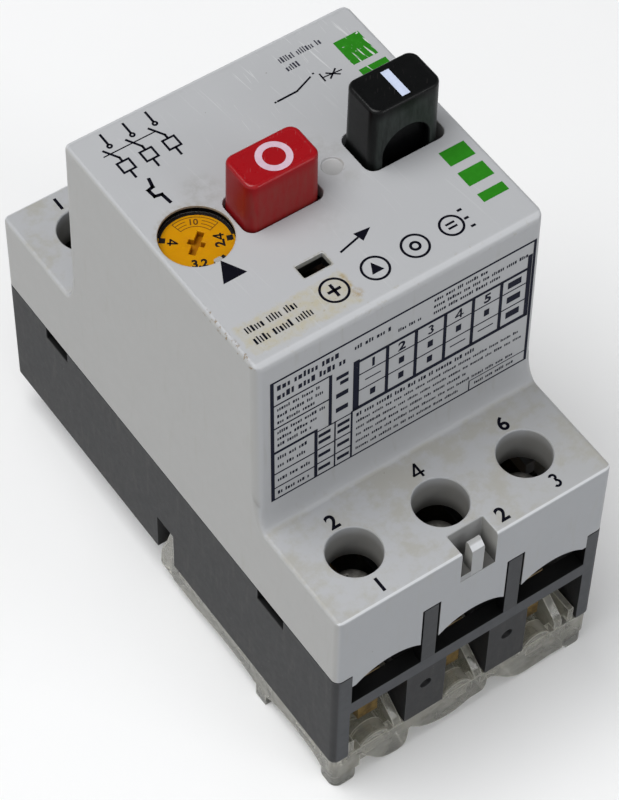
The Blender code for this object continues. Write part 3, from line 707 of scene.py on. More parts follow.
def housing_material():
    mat = Surface("housing_plastic", (0.036, 0.0365, 0.039))
    z, nz = mat.xyz[2], mat.normal[2]
    up = mat.step(nz, 0.5, 0.9)
    mat.paint((0.048, 0.048, 0.049), mat.noise(0.13))
    mat.paint((0.062, 0.063, 0.065), mat.patches(6.0, 0.45, 0.75, rough=0.65), share=0.35)
    streak = mat.patches(0.8, 0.5, 0.75, stretch=(1, 1, 0.16))
    mat.paint((0.078, 0.076, 0.072), streak, mat.inverse(up), share=0.40)
    dust = mat.mul(up, mat.between(mat.noise(0.8, detail=5, rough=0.7), 0.2, 0.9))
    mat.paint((0.060, 0.058, 0.054), dust, share=0.30)
    low = mat.mul(mat.step(z, 16.0, 7.5), mat.patches(0.6, 0.42, 0.7, detail=5, rough=0.7))
    mat.paint((0.085, 0.08, 0.072), low, share=0.20)
    worn = mat.mul(mat.edges(0.28), mat.between(mat.noise(1.2, detail=3), 0.3, 1.0))
    mat.paint((0.13, 0.135, 0.14), worn, share=0.55)
    paint_housing_bays(mat)
    dots = mat.most(mat.specks(1.4, 0.08, 0.25), mat.specks(2.8, 0.13, 0.18))
    mat.paint((0.17, 0.165, 0.15), dots, share=0.6)
    mat.bump(mat.noise(9.0, detail=3), depth=0.014, strength=0.6)
    mat.bump(mat.noise(0.5, detail=3, rough=0.5), depth=0.04, strength=0.3)
    rough = mat.between(mat.noise(0.8), 0.40, 0.58)
    mat.finish(rough, Specular_IOR_Level=mat.between(up, 0.10, 0.30))


def clear_material():
    """Clear plastic mixed with a cloudy, dusty share that is strongest on the edges, where a painted
    highlight also makes the colour paler.
    """
    even = {"detail": 3, "rough": 0.5}
    mat = Surface("clear_plastic", (0.86, 0.855, 0.80))
    mat.paint((0.74, 0.71, 0.60), mat.noise(0.10, **even))
    grime = mat.patches(0.30, 0.54, 0.78)
    mat.paint((0.52, 0.45, 0.32), grime, share=0.45)
    # painted highlight: this edge mask makes the edges paler and cloudier
    worn = mat.edges(0.45, samples=6)
    rough = mat.add(mat.between(mat.noise(0.5, **even), 0.06, 0.18), mat.mul(grime, 0.10))
    mat.bump(mat.noise(0.45, **even), depth=0.10, strength=0.5)
    mat.bump(mat.noise(5.0, detail=2, rough=0.5), depth=0.006, strength=0.4)
    mat.finish(rough, Transmission_Weight=0.95, IOR=1.49)

    mat.colour = (0.76, 0.755, 0.71)
    mat.paint((0.54, 0.525, 0.45), mat.noise(0.22, **even))
    mat.paint((0.30, 0.25, 0.16), grime, share=0.45)
    mat.paint((0.90, 0.89, 0.82), worn)
    look = {"Base Color": mat.colour, "Roughness": 0.30, "Normal": mat.relief}
    haze = mat.node("BsdfPrincipled", look).outputs[0]
    through = mat.node("BsdfTranslucent", {"Color": mat.colour}).outputs[0]
    cloudy = mat.node("MixShader", {0: 0.45, 1: haze, 2: through}).outputs[0]
    cloud_share = mat.between(mat.patches(0.20, 0.30, 0.70, **even), 0.14, 0.46)
    share = mat.add(mat.mul(worn, 0.50), cloud_share, clamp=True)
    mixed = mat.node("MixShader", {0: share, 1: mat.shader.outputs[0], 2: cloudy}).outputs[0]
    mat.link(mixed, mat.tree.nodes["Material Output"].inputs["Surface"])


def button_material(name, base, deep, dusty, top_z, dust_and_sheen_share, scratching, shine, shade, recess=None):
    """Glossy cap; recess is (left x, right x, face y, top z) of a hollow in its -Y wall, painted
    near-black as shade.
    """
    mat = Surface(name, base)
    y, z = mat.xyz[1:]
    nx, ny, nz = mat.normal
    up = mat.step(nz, 0.5, 0.95)
    mat.paint(deep, mat.noise(0.35))
    streak = mat.patches(1.5, 0.25, 0.70, stretch=(1, 1, 0.18))
    # dust on the side walls with a painted sheen, stronger on the walls that face -Y
    dust_and_sheen = mat.mul(
        mat.inverse(up),
        mat.between(mat.step(ny, 0.2, -0.7), 0.25, 1.0),
        mat.between(streak, 0.30, 1.0),
        mat.step(z, top_z - 0.4, top_z - 2.4),
    )
    mat.paint(dusty, dust_and_sheen, share=dust_and_sheen_share)
    worn = mat.mul(mat.edges(0.35), mat.between(mat.noise(1.6, detail=3), 0.1, 1.0))
    mat.paint(dusty, worn, share=0.35)
    mat.paint(dusty, mat.specks(1.1, 0.06, 0.20), share=0.35)
    fine = mat.patches(1.0, 0.66, 0.72, detail=2, rough=0.5, stretch=(7.0, 0.6, 7.0), angle=35)
    lines = mat.mul(up, fine)
    mat.paint((0.6, 0.5, 0.5), lines, share=scratching)
    # painted shade: walls that face -X darker
    mat.paint(tinted(deep, 0.35), mat.step(nx, -0.3, -0.85), share=shade)
    if recess:
        left, right, face, top = recess
        # painted shade: the hollow near-black
        hollow = mat.mul(
            mat.step(y, face - 0.1, face + 0.05),
            mat.step(y, -2.7, -2.9),
            mat.area(x=(left, right), z=(-FAR, top), soft=0.12),
        )
        mat.paint((0.0022, 0.0022, 0.0024), hollow)
    rough = mat.add(mat.between(mat.noise(1.0), 0.22, 0.36), mat.mul(dust_and_sheen, 0.14))
    mat.bump(mat.noise(3.2, detail=3), depth=0.02, strength=0.4)
    mat.bump(lines, depth=-0.01, strength=0.5)
    mat.finish(rough, Specular_IOR_Level=mat.between(mat.step(nz, 0.05, 0.5), 0.10, shine))


def dial_material():
    mat = Surface("amber_plastic", (0.60, 0.280, 0.0015))
    mat.paint((0.51, 0.215, 0.001), mat.noise(0.45))
    # painted shade: the cross slot darker below the top face
    depth = mat.step(mat.xyz[2], DIAL_TOP - 0.08, DIAL_TOP - 0.3)
    slot = mat.mul(depth, mat.spot(DIAL_X, DIAL_Y, 2.3, 2.5))
    mat.paint((0.30, 0.098, 0.002), slot, mat.between(mat.noise(1.8), 0.5, 1.0))
    halo = mat.mul(mat.spot(DIAL_X, DIAL_Y, 1.0, 2.4), mat.patches(1.3, 0.35, 0.7))
    mat.paint((0.40, 0.155, 0.006), halo, share=0.35)
    outer = mat.inverse(mat.spot(DIAL_X, DIAL_Y, 3.6, 5.0))
    rim = mat.mul(outer, mat.patches(1.1, 0.45, 0.7, detail=5, rough=0.7))
    mat.paint((0.36, 0.155, 0.008), rim, share=0.60)
    mat.paint((0.22, 0.10, 0.01), mat.specks(1.0, 0.06, 0.25), share=0.5)
    mat.bump(mat.noise(2.6, detail=3), depth=0.02, strength=0.5)
    mat.finish(
        mat.between(mat.noise(1.4), 0.26, 0.44),
        Specular_IOR_Level=0.12,
        Subsurface_Weight=0.08,
        Subsurface_Scale=0.002,
    )


def moulded_material(name, base, other, rough, fibre=0.0, shade_box=None):
    """Moulded plastic; fibre is the share of pale threads; the last argument gives the ranges of a
    block painted near-black as shade.
    """
    mat = Surface(name, base)
    mat.paint(other, mat.noise(0.4))
    mat.paint(tinted(base, 0.6), mat.patches(4.5, 0.5, 0.75, rough=0.65), share=0.35)
    if fibre:
        thread = mat.patches(1.0, 0.62, 0.7, detail=3, stretch=(0.8, 5.0, 5.0), angle=25)
        mat.paint(tinted(base, 2.2, 0.02), thread, share=fibre)
    mat.paint(tinted(base, 0.3), mat.specks(1.6, 0.08, 0.3), share=0.5)
    mat.paint(tinted(base, 1.5, 0.03), mat.edges(0.25), share=0.35)
    if shade_box:
        # painted shade: the block near-black
        mat.paint((0.006, 0.006, 0.006), mat.area(soft=0.2, **shade_box))
    mat.bump(mat.noise(7.0, detail=3), depth=0.014, strength=0.6)
    mat.bump(mat.noise(0.7, detail=3, rough=0.5), depth=0.05, strength=0.3)
    mat.finish(mat.between(mat.noise(1.0), rough, rough + 0.2))


def metal_material(name, base, dull, rough, brushing, spot=(0.10, 0.08, 0.05), end_shade=None):
    """Brushed metal with dull patina and blots; the optional last colour paints shade on its outer
    ends (large |y|).
    """
    mat = Surface(name, base)
    brush = mat.noise(1.0, detail=3, stretch=brushing)
    patina = mat.patches(0.5, 0.35, 0.72, detail=5, rough=0.65)
    mat.paint(dull, mat.between(patina, 0.0, 0.75))
    mat.paint(tinted(base, 1.25), mat.step(brush, 0.45, 0.75), share=0.25)
    blot = mat.patches(1.6, 0.60, 0.72, detail=5, rough=0.7)
    mat.paint(spot, blot, share=0.25)
    mat.paint(tinted(base, 1.35), mat.edges(0.18), share=0.4)
    if end_shade:
        _, y, z = mat.xyz
        # painted shade: the outer ends near-black between z 19.5 and 31.5, and a darker dull tone
        # below z 19.6
        end_shade_mask = mat.mul(mat.step(mat.absolute(y), 34.5, 36.0), mat.band(z, 19.5, 31.5, soft=1.0))
        mat.paint(end_shade, end_shade_mask, mat.between(mat.noise(0.9), 0.9, 1.0))
        low = mat.mul(mat.step(mat.absolute(y), 34.5, 36.0), mat.step(z, 19.6, 19.2))
        cloud = mat.between(mat.patches(0.55, 0.35, 0.65), 0.25, 0.95)
        mat.paint(tinted(dull, 0.42), low, cloud)
    mat.bump(brush, depth=0.02, strength=0.5)
    mat.bump(mat.noise(5.0, detail=3), depth=0.01, strength=0.4)
    mat.finish(mat.add(mat.between(brush, rough, rough + 0.18), mat.mul(blot, 0.2)), metal=1.0)


def ink_material(name, colour, under, wear, scratch=0.0):
    """Printed ink, worn through to the plastic below where the noise is above wear."""
    mat = Surface(name, colour)
    mat.paint(tinted(colour, 1.45, 0.0012), mat.noise(1.2, detail=3))
    thin = mat.patches(2.4, wear, wear + 0.09, rough=0.7)
    if scratch:
        lines = mat.noise(1.0, detail=2, rough=0.5, stretch=(1.7, 0.16, 1), angle=-8)
        cross = mat.noise(1.0, detail=3, stretch=(0.7, 0.7, 1), angle=20)
        thin = mat.most(
            thin,
            mat.step(lines, scratch, scratch + 0.03),
            mat.step(cross, scratch + 0.04, scratch + 0.07),
        )
    mat.paint(under, thin)
    mat.bump(mat.noise(6.0, detail=3), depth=0.008, strength=0.5)
    mat.finish(mat.between(mat.noise(1.5, detail=3), 0.42, 0.57), Specular_IOR_Level=0.03)


COVER_TONE = (0.43, 0.436, 0.446)
GREEN, UNDER_GREEN = (0.018, 0.158, 0.0085), (0.56, 0.58, 0.56)
# name, ink, plastic below, wear threshold, optional scratch threshold
INKS = (
    ("print_ink", (0.0030, 0.0030, 0.0065), COVER_TONE, 0.69),
    ("label_ink", (0.010, 0.011, 0.021), COVER_TONE, 0.69),
    ("faint_ink", (0.030, 0.030, 0.042), COVER_TONE, 0.64),
    ("green_ink", GREEN, UNDER_GREEN, 0.74),
    ("green_worn_ink", GREEN, UNDER_GREEN, 0.66, 0.61),
    ("ring_ink", (0.47, 0.345, 0.41), (0.40, 0.05, 0.06), 0.80),
    ("bar_ink", (0.44, 0.49, 0.62), (0.10, 0.10, 0.12), 0.80),
    ("dial_ink", (0.012, 0.010, 0.010), (0.30, 0.14, 0.01), 0.70),
    ("dial_fine_ink", (0.10, 0.045, 0.010), (0.50, 0.24, 0.01), 0.70),
)


def make_materials():
    cover_material()
    housing_material()
    clear_material()
    button_material(
        "red_plastic", base=(0.335, 0.0040, 0.008), deep=(0.285, 0.0035, 0.007),
        dusty=(0.250, 0.040, 0.034), top_z=STOP_TOP, dust_and_sheen_share=0.78, scratching=0.10,
        shine=0.34, shade=0.32,
    )
    button_material(
        "black_plastic", base=(0.0045, 0.0048, 0.0050), deep=(0.0032, 0.0034, 0.0036),
        dusty=(0.041, 0.049, 0.045), top_z=START_TOP, dust_and_sheen_share=0.85, scratching=0.03,
        shine=0.22, shade=0.8, recess=(9.7, 17.3, -4.1, 82.75),
    )
    dial_material()
    # painted shade: the trip slide under the small slot near-black
    slot_shade_box = {"x": (-11.0, -3.0), "y": (-15.0, -10.5), "z": (70.0, 78.0)}
    moulded_material(
        "cream_plastic", (0.55, 0.50, 0.38), (0.50, 0.44, 0.32), rough=0.42, shade_box=slot_shade_box
    )
    moulded_material(
        "brown_plastic", (0.14, 0.07, 0.035), (0.11, 0.055, 0.03), rough=0.44, fibre=0.5
    )
    metal_material(
        "steel", (0.45, 0.45, 0.46), (0.33, 0.33, 0.34), rough=0.30, brushing=(0.4, 3.0, 3.0)
    )
    metal_material(
        "zinc_steel", (0.62, 0.60, 0.55), (0.42, 0.40, 0.36), rough=0.26,
        brushing=(2.2, 2.2, 0.5),
    )
    # brass, with painted shade on the outer ends of its terminals
    metal_material(
        "brass", (0.66, 0.45, 0.17), (0.46, 0.30, 0.12), rough=0.28, brushing=(3.0, 0.5, 3.0),
        spot=(0.13, 0.08, 0.04), end_shade=(0.016, 0.012, 0.008),
    )
    metal_material(
        "copper", (0.70, 0.33, 0.18), (0.42, 0.18, 0.10), rough=0.30, brushing=(3.0, 3.0, 0.5),
        spot=(0.09, 0.04, 0.03),
    )
    # a darker copy of zinc steel: painted shade for the screw heads deep in their wells
    metal_material(
        "screw_steel_shaded", (0.26, 0.25, 0.23), (0.12, 0.115, 0.105), rough=0.40,
        brushing=(2.2, 2.2, 0.5),
    )
    moulded_material("clip_plastic", (0.020, 0.020, 0.022), (0.028, 0.028, 0.030), rough=0.40)
    for row in INKS:
        ink_material(*row)


# ==========================================================================
# upper cover
# ==========================================================================
def cover_blank():
    """Y-Z outline of the block and its ledges, swept across the width and rounded."""
    half = [(WALL_TOP_Y, TOP_Z), (KNEE_Y, KNEE_Z)]
    steps = 14
    for i in range(1, steps + 1):
        t = i / steps
        drop = (FOOT_Z - LEDGE_Z) * (1 - (1 - t) ** 1.6)
        half.append((FOOT_Y + 1.6 * t * t, FOOT_Z - drop))
    half += [(HALF_L, LEDGE_Z), (HALF_L, COVER_END_Z)]
    blank = prism(half + mirrored(reversed(half), -1), "X", -HALF_W, HALF_W)

    widest = 1.6
    with editing(blank.data) as bm:
        weights = bm.edges.layers.float.new("bevel_weight_edge")
        for edge in bm.edges:
            edge[weights] = cover_edge_width(edge) / widest
    mod = blank.modifiers.new("round", "BEVEL")
    mod.width = widest * MM
    mod.segments = 5
    mod.limit_method = "WEIGHT"
    mod.use_clamp_overlap = False
    return apply_modifiers(blank)


def cover_edge_width(edge):
    """Bevel width of one edge of the raw cover."""
    a, b = (vert.co / MM for vert in edge.verts)
    low, high = sorted((a.z, b.z))
    at_end = [abs(abs(point.y) - HALF_L) < 0.01 for point in (a, b)]
    if abs(a.x - b.x) > 1:  # edges across the width
        if low > 77:
            return 1.35
        return 0.6 if abs(a.z - LEDGE_Z) < 0.01 and at_end[0] else 0.0
    if low > 77:
        return 0.62
    if low >= 47.9:
        return 1.5
    if high < 43.2 and low > 43:
        return 0.55
    if all(at_end):
        return 1.1
    if low > 43:
        return 0.55 + 0.95 * ((low + high) / 2 - LEDGE_Z) / (FOOT_Z - LEDGE_Z)
    return 0.0


def terminal_end(cover, side):
    """Wells, snap pocket with its tab, wire arches and slits at one end."""
    for x in POLES:
        cover.add(cylinder(x, side * TERM_Y, 37.0, 42.0, 5.3, 48))
    cover.add(box(-4.2, 4.6, side * 36.6, side * 40.6, 34.9, 42.2))
    # radius, z
    well = [
        (0, 33.9), (3.6, 33.9), (3.90, 42.90), (3.925, 42.99), (3.985, 43.07), (4.20, 43.28),
        (4.22, 44.5), (0, 44.5),
    ]
    pocket = growing(-2.55, 3.25, side * 37.9, side * 43.5, 0.25, 4)
    cutters = [lathe(x, side * TERM_Y, well, 80) for x in POLES]
    cover.cut(join(cutters + [flared(pocket, 36.4, LEDGE_Z, flare=0.22, above=2)]))
    # y, z
    tab = [
        (39.75, 35.6), (39.75, 42.5), (39.9, 42.85), (40.25, 42.9), (41.2, 42.05),
        (41.34, 41.8), (41.34, 35.6),
    ]
    cover.add(prism(mirrored(tab, side), "X", -0.8, 1.2))
    cover.add(box(-2.95, -0.7, side * 37.4, side * 41.36, 35.8, 37.6))
    arch_radius, arch_top = 8.56, 27.9
    for x in (-13.6, 0.0, 13.6):
        cover.cut(
            cylinder(x, arch_top - arch_radius, side * 38.6, side * 43.0, arch_radius, 120, "Y")
        )
    cover.cut(join([
        box(x - 1.5, x + 1.5, side * 39.6, side * 43.0, 22.0, 34.5) for x in BARRIERS
    ]))


def top_openings(cover):
    """Button, slot and dial openings with moulded lips, the dimple and the dial tooth."""
    stop = growing(-11.1, 1.1, -4.25, 2.85, 1.5, 10)
    start = growing(7.65, 20.2, -4.5, 2.95, 1.5, 10)
    small_slot = growing(-9.15, -4.9, -13.8, -11.6, 0.18, 3)
    # radius, height over the top face
    dimple = [
        (0, -0.35), (1.32, -0.35), (1.43, -0.30), (1.50, -0.20), (1.54, -0.07), (1.70, 0.10),
        (1.72, 1), (0, 1),
    ]
    cover.cut(join([
        flared(stop, 73.0, TOP_Z, flare=0.16, above=2),
        flared(start, 73.0, TOP_Z, flare=0.16, above=2),
        flared(small_slot, 73.0, TOP_Z, flare=0.10, above=2),
        flared(lambda g: circle(DIAL_X, DIAL_Y, DIAL_R + g, 112), 74.0, TOP_Z, 0.10, 2),
        lathe(DIMPLE_X, DIMPLE_Y, [(r, TOP_Z + h) for r, h in dimple], 56),
    ]))
    cover.cut(cylinder(DIAL_X, DIAL_Y, 70.0, 76.05, 5.35, 96))
    tooth = [
        (-17.0, -6.2), (-15.85, -6.2), (-15.85, -5.05), (-16.0, -4.85), (-16.85, -4.85),
        (-17.0, -5.05),
    ]
    cover.add(prism(tooth, "Z", 76.3, TOP_Z - 0.02))


def front_cover():
    cover = Solid(cover_blank())
    end_y, block_y, ledge_z = HALF_L - 2.0, 20.4, 41.0
    hollow = [(end_y, 15), (end_y, ledge_z), (block_y, ledge_z), (block_y, 75.0)]
    cover.cut(prism(mirrored(hollow, -1) + hollow[::-1], "X", -INNER_X, INNER_X))
    for side in SIDES:
        cover.cut(box(side * 19.75, side * 24.0, -45, 45, 20, SPLIT_Z))
    for side in SIDES:
        terminal_end(cover, side)
    top_openings(cover)
    # side snap tongues: x, z
    tongue = [
        (18.6, 26.5), (20.1, 26.5), (21.6, 26.8), (21.6, 27.9), (20.1, 27.9), (20.1, 29.2),
        (20.8, 29.2), (20.8, 31.4), (18.6, 31.4),
    ]
    for side in SIDES:
        for y0, y1 in ((-28.6, -23.4), (25.9, 30.6)):
            cover.add(prism(mirrored(tongue, side), "Y", y0, y1))
    dress(cover.apply(), "cover_shell", "housing", "cover_plastic", "front_cover", sharp=38)


# ==========================================================================
# base housing
# ==========================================================================
def barrier_post(housing, x, side):
    """Block and thin post between two poles at one end, with a dimple below."""
    block = box(
        x - 3.3, x + 3.3, side * 36.6, side * HALF_L, 8.2, SHELF_Z0 + 0.6,
        r=0.18, seg=2, which=vertical,
    )
    post = box(
        x - 1.2, x + 1.2, side * 39.75, side * HALF_L, SHELF_Z1 - 1.0, 34.2,
        r=0.14, seg=2, which=lambda e: max(v.co.z for v in e.verts) > 0.0341,
    )
    housing.add(block, post)
    # radius, |y|
    dimple = [(0, 40.75), (0.72, 40.75), (0.86, 40.95), (0.9, 41.25), (0.98, 41.42), (0.98, 43),
              (0, 43)]
    housing.cut(lathe(x, 14.9, [(r, side * y) for r, y in dimple], 36, axis="Y"))


def base_housing():
    rim_z = SPLIT_Z - 0.3
    housing = Solid(
        box(-HALF_W, HALF_W, -HALF_L, HALF_L, SEAT_Z, rim_z, r=1.1, seg=6, which=vertical)
    )
    housing.cut(
        box(-20.5, 20.5, -38.9, 38.9, 9.5, 32.0, r=0.4, seg=2, which=vertical),
        box(-20.5, 20.5, -38.9, 0.0, 5.0, 12.0),
    )
    for side in SIDES:
        housing.cut(box(-19.75, 19.75, side * 38.4, side * 43.0, SHELF_Z1, 32.0))
    # bays below the shelf, one per pole
    for x0, x1 in ((-19.9, -10.3), (-3.7, 3.7), (10.3, 19.9)):
        housing.cut(box(x0, x1, -43.0, -38.4, 5.0, SHELF_Z0), box(x0, x1, 40.2, 43.0, 5.0, SHELF_Z0))
    for side in SIDES:
        for x in BARRIERS:
            barrier_post(housing, x, side)
    for x in BARRIERS:
        housing.add(box(x - 0.6, x + 0.6, -37.0, 39.2, 9.2, rim_z))
    # two snap windows and a lower notch in each side wall
    for side in SIDES:
        housing.cut(
            box(side * 20.0, side * 24.0, -29.1, -22.9, 26.1, 32.0),
            box(side * 20.0, side * 24.0, 25.4, 31.1, 26.1, 32.0),
            box(side * 20.3, side * 24.0, -1.7, 2.5, 5.0, 15.0),
        )
    housing.cut(box(-9.6, 9.6, -1.0, 43.0, 6.0, SEAT_Z + 0.3))
    # low foot and its lip at the +Y end, then two inner cross walls
    housing.add(
        box(-9.0, 9.0, 37.7, 41.2, 0.6, 9.0, r=0.5, seg=3),
        box(-9.0, 9.0, 36.2, 38.6, 4.6, 6.1),
        box(-20.8, 20.8, -28.6, -27.0, 16.0, 25.7),
        box(-20.8, 20.8, 27.0, 28.6, 9.3, 25.7),
    )
    shell = round_edges(housing.apply(), width=0.14, segments=2, angle=50)
    dress(shell, "housing_shell", "housing", "housing_plastic", "base_housing", sharp=38, clean=False)


# ==========================================================================
# clear cover under the -Y half
# ==========================================================================
# x, z of the scalloped lower edge of the end wall
WAVE = [
    (-17.65, -1.0), (-17.65, 5.3), (-17.3, 5.3), (-16.6, 4.1), (-15.8, 3.1), (-14.8, 1.8),
    (-13.6, 0.75), (-12.3, 0.3), (-11.1, 0.2), (-10.2, 0.45), (-9.65, 1.1), (-9.35, 2.6),
    (-9.2, 4.5), (-8.9, 4.6), (-8.2, 3.9), (-7.2, 2.95), (-6.0, 2.25), (-4.8, 1.8),
    (-3.6, 1.55), (-2.4, 1.45), (-1.2, 1.5), (0.2, 1.95), (1.5, 2.45), (2.8, 2.5),
    (3.8, 2.6), (4.3, 3.6), (4.5, 5.1), (5.0, 5.0), (6.0, 4.3), (7.0, 3.2),
    (8.1, 2.0), (9.2, 1.15), (10.3, 0.6), (11.6, 0.4), (13.6, 0.6), (16.2, 0.8),
    (19.0, 0.6), (19.1, -1.0),
]
# y, z of the hook at each side
HOOK = [
    (-1.3, 3.0), (1.9, 3.0), (2.25, 3.25), (2.35, 3.8), (2.1, 6.7), (1.5, 8.7), (0.7, 10.4),
    (0.1, 12.2), (-0.45, 14.0), (-0.7, 14.35), (-1.3, 14.4),
]


def clear_side(cover, side):
    """Hook, round corner foot, rib, inner wall and two shallow arches at one side."""
    cover.add(
        prism(HOOK, "X", side * 20.9, side * 22.2),
        prism(growing(side * 17.75, side * 22.0, -41.2, -37.2, 1.3, 7)(0.0), "Z", 0.0, 3.4),
        box(side * 20.2, side * 22.2, -24.6, -22.2, 0.0, 3.4),
        box(side * 18.7, side * 19.6, -41.0, -35.0, 3.4, 10.0),
    )
    for y0, y1, top in ((-21.6, -7.0, 3.3), (-38.0, -25.2, 3.9)):
        degrees = [7.5 * k for k in range(25)]
        arch = arc_points((y0 + y1) / 2, 2.4, (y1 - y0) / 2, top - 2.4, degrees)
        cover.cut(prism([(y1, 1.0)] + arch + [(y0, 1.0)], "X", side * 21.3, side * 24.0))


def rear_cover():
    cover = Solid(box(-22.2, 22.2, -41.2, 0.0, 2.6, 7.2, r=1.0, seg=5, which=vertical))
    cover.cut(box(-20.6, 20.6, -39.7, -1.6, 4.2, 9.0, r=0.5, seg=3, which=vertical))
    for side in SIDES:
        clear_side(cover, side)
    # end wall with its scallops; behind the wall they stop below the floor
    cover.add(prism(rounded(-17.3, 18.9, -41.2, -34.6, 0.9, 5), "Z", 0.0, 3.4))
    cover.cut(prism([(x, min(z, 3.3)) for x, z in WAVE], "Y", -38.9, -34.0))
    cover.cut(prism(WAVE, "Y", -42.0, -38.9))
    # three sloped ribs
    for x, top in ((-11.2, 10.4), (2.8, 10.4), (17.0, 11.4)):
        slope = [
            (-41.0, 3.4), (-41.0, top - 3.0), (-40.4, top - 2.2), (-37.6, top), (-36.6, top),
            (-36.0, top - 0.7), (-36.0, 3.4),
        ]
        cover.add(prism(slope, "X", x - 0.65, x + 0.65))
    # three hollow hoops
    half_turn = range(0, 181, 9)
    for x in (-15.1, -0.8, 13.2):
        hoop = arc_points(x, 5.6, 2.75, 3.0, half_turn)
        cover.add(prism([(x + 2.75, 3.6)] + hoop + [(x - 2.75, 3.6)], "Y", -41.05, -38.6))
        core = arc_points(x, 5.5, 1.75, 2.0, half_turn)
        cover.cut(prism([(x + 1.75, 4.3)] + core + [(x - 1.75, 4.3)], "Y", -40.45, -38.2))
    cover.cut(box(-3.4, 3.4, -3.0, 1.0, 4.5, 6.9))
    cover.add(box(-1.3, 1.3, -15.6, -14.7, 3.4, 6.8))
    shell = round_edges(cover.apply(), width=0.22, segments=3, angle=40)
    dress(shell, "clear_shell", "housing", "clear_plastic", "rear_cover", sharp=40, clean=False)


# ==========================================================================
# push buttons, dial, screws, springs
# ==========================================================================
def button_cap(x0, x1, y0, y1, bottom, top):
    """Cap with a slight draft, a round rim and a very shallow dished top."""
    corner, rim, draft, dish = 1.5, 0.5, 0.10, 0.05
    grown = growing(x0, x1, y0, y1, corner, 10)
    sections = []
    for i in range(7):
        f = i / 6
        sections.append((grown(draft * (1 - f)), bottom + (top - rim - bottom) * f))
    for i in range(1, 8):
        a = math.pi / 2 * i / 7
        sections.append((grown(-rim * (1 - math.cos(a))), top - rim + rim * math.sin(a)))
    sections.append((grown(-rim - 0.18), top - dish * 0.25))
    sections.append((grown(-rim - 0.38), top - dish))
    return loft(sections)


def button_stem(button, x, bottom, top):
    y = BUTTON_Y
    button.add(box(x - 1.8, x + 1.8, y - 1.5, y + 1.5, bottom, top, r=0.2, seg=2))


def stop_button():
    button = Solid(button_cap(-10.75, 0.35, -3.95, 2.55, 72.6, STOP_TOP))
    button.add(box(-10.3, -0.1, -5.5, 4.1, 73.0, 74.6, r=0.2, seg=2))
    button_stem(button, STOP_X, 58.6, 73.2)
    dress(button.apply(), "stop_button_cap", "stop_button", "red_plastic", "stop_button", sharp=40)


def start_button():
    """Taller cap with an arched hollow in its -Y wall."""
    button = Solid(button_cap(8.2, 19.0, -4.2, 2.65, 71.4, START_TOP))
    cx, cz, radius = 13.45, 79.0, 3.6
    arch = arc_points(cx, cz, radius, radius, range(180, -1, -6))
    arch = [(9.9, 70.0)] + arch + [(17.05, 70.0)]

    def grown(g):
        k = 1 + g / radius
        return [(cx + (u - cx) * k, cz + (v - cz) * k if v > cz else v) for u, v in arch]

    # growth, y
    stations = ((0.35, -6.0), (0.30, -4.33), (0.06, -4.1), (0.0, -3.9), (-0.05, -3.0))
    button.cut(loft([(grown(g), y) for g, y in stations], "Y"))
    button.add(box(8.4, 19.2, -5.7, 4.3, 72.0, 74.5, r=0.2, seg=2))
    button_stem(button, START_X, 54.0, 72.2)
    dress(
        button.apply(), "start_button_cap", "start_button", "black_plastic", "start_button", sharp=40
    )


def setting_dial():
    # radius, z
    profile = [
        (0, 65.4), (1.5, 65.4), (1.5, 73.6), (5.0, 73.6), (5.1, 73.7), (5.1, 75.6),
        (5.06, 75.71), (4.95, DIAL_TOP), (0, DIAL_TOP),
    ]
    dial = Solid(lathe(DIAL_X, DIAL_Y, profile, 120))
    dial.add(prism(circle(DIAL_X + 0.7, DIAL_Y, 2.3, 57), "Z", 64.6, 67.2))
    lean = math.radians(39)

    def cross(g):
        """Cross slot with a long and a short bar: half lengths and half widths."""
        l1, w1, l2, w2 = 1.95 + g, 0.46 + g, 1.12 + g, 0.40 + g
        local = [
            (l1, -w1), (l1, w1), (w2, w1), (w2, l2), (-w2, l2), (-w2, w1),
            (-l1, w1), (-l1, -w1), (-w2, -w1), (-w2, -l2), (w2, -l2), (w2, -w1),
        ]
        c, s = math.cos(lean), math.sin(lean)
        return [(DIAL_X + c * u - s * v, DIAL_Y + s * u + c * v) for u, v in local]

    dial.cut(flared(cross, 74.7, DIAL_TOP, flare=0.12, above=1.5))
    dress(
        dial.apply(), "setting_dial_disc", "setting_dial", "amber_plastic", "setting_dial", sharp=38
    )


def terminal_screw(i, x, y):
    """Cheese-head screw with a cross recess and a ringed thread."""
    profile = [(0, 27.8), (1.2, 27.8)]
    core, crest, pitch = 1.42, 1.70, 0.7
    z = 28.0
    while z < 32.0:
        profile += [(core, z), (crest, z + 0.175), (crest, z + 0.35), (core, z + 0.525)]
        z += pitch
    profile += [
        (1.45, 32.3), (2.92, 32.3), (3.0, 32.38), (3.0, 34.25), (2.9, 34.55), (2.6, 34.7),
        (0, 34.7),
    ]
    screw = Solid(lathe(x, y, profile, 48))
    for half_x, half_y in ((2.6, 0.45), (0.45, 1.9)):
        def bar(g):
            return rectangle(x - half_x - g, x + half_x + g, y - half_y - g, y + half_y + g)

        screw.cut(flared(bar, 33.4, 34.7, flare=0.1, above=1))
    name = f"terminal_screw_{i}"
    dress(
        screw.apply(), f"terminal_screw_head_{i}", name, "zinc_steel", name, "screw_steel_shaded", sharp=32
    )


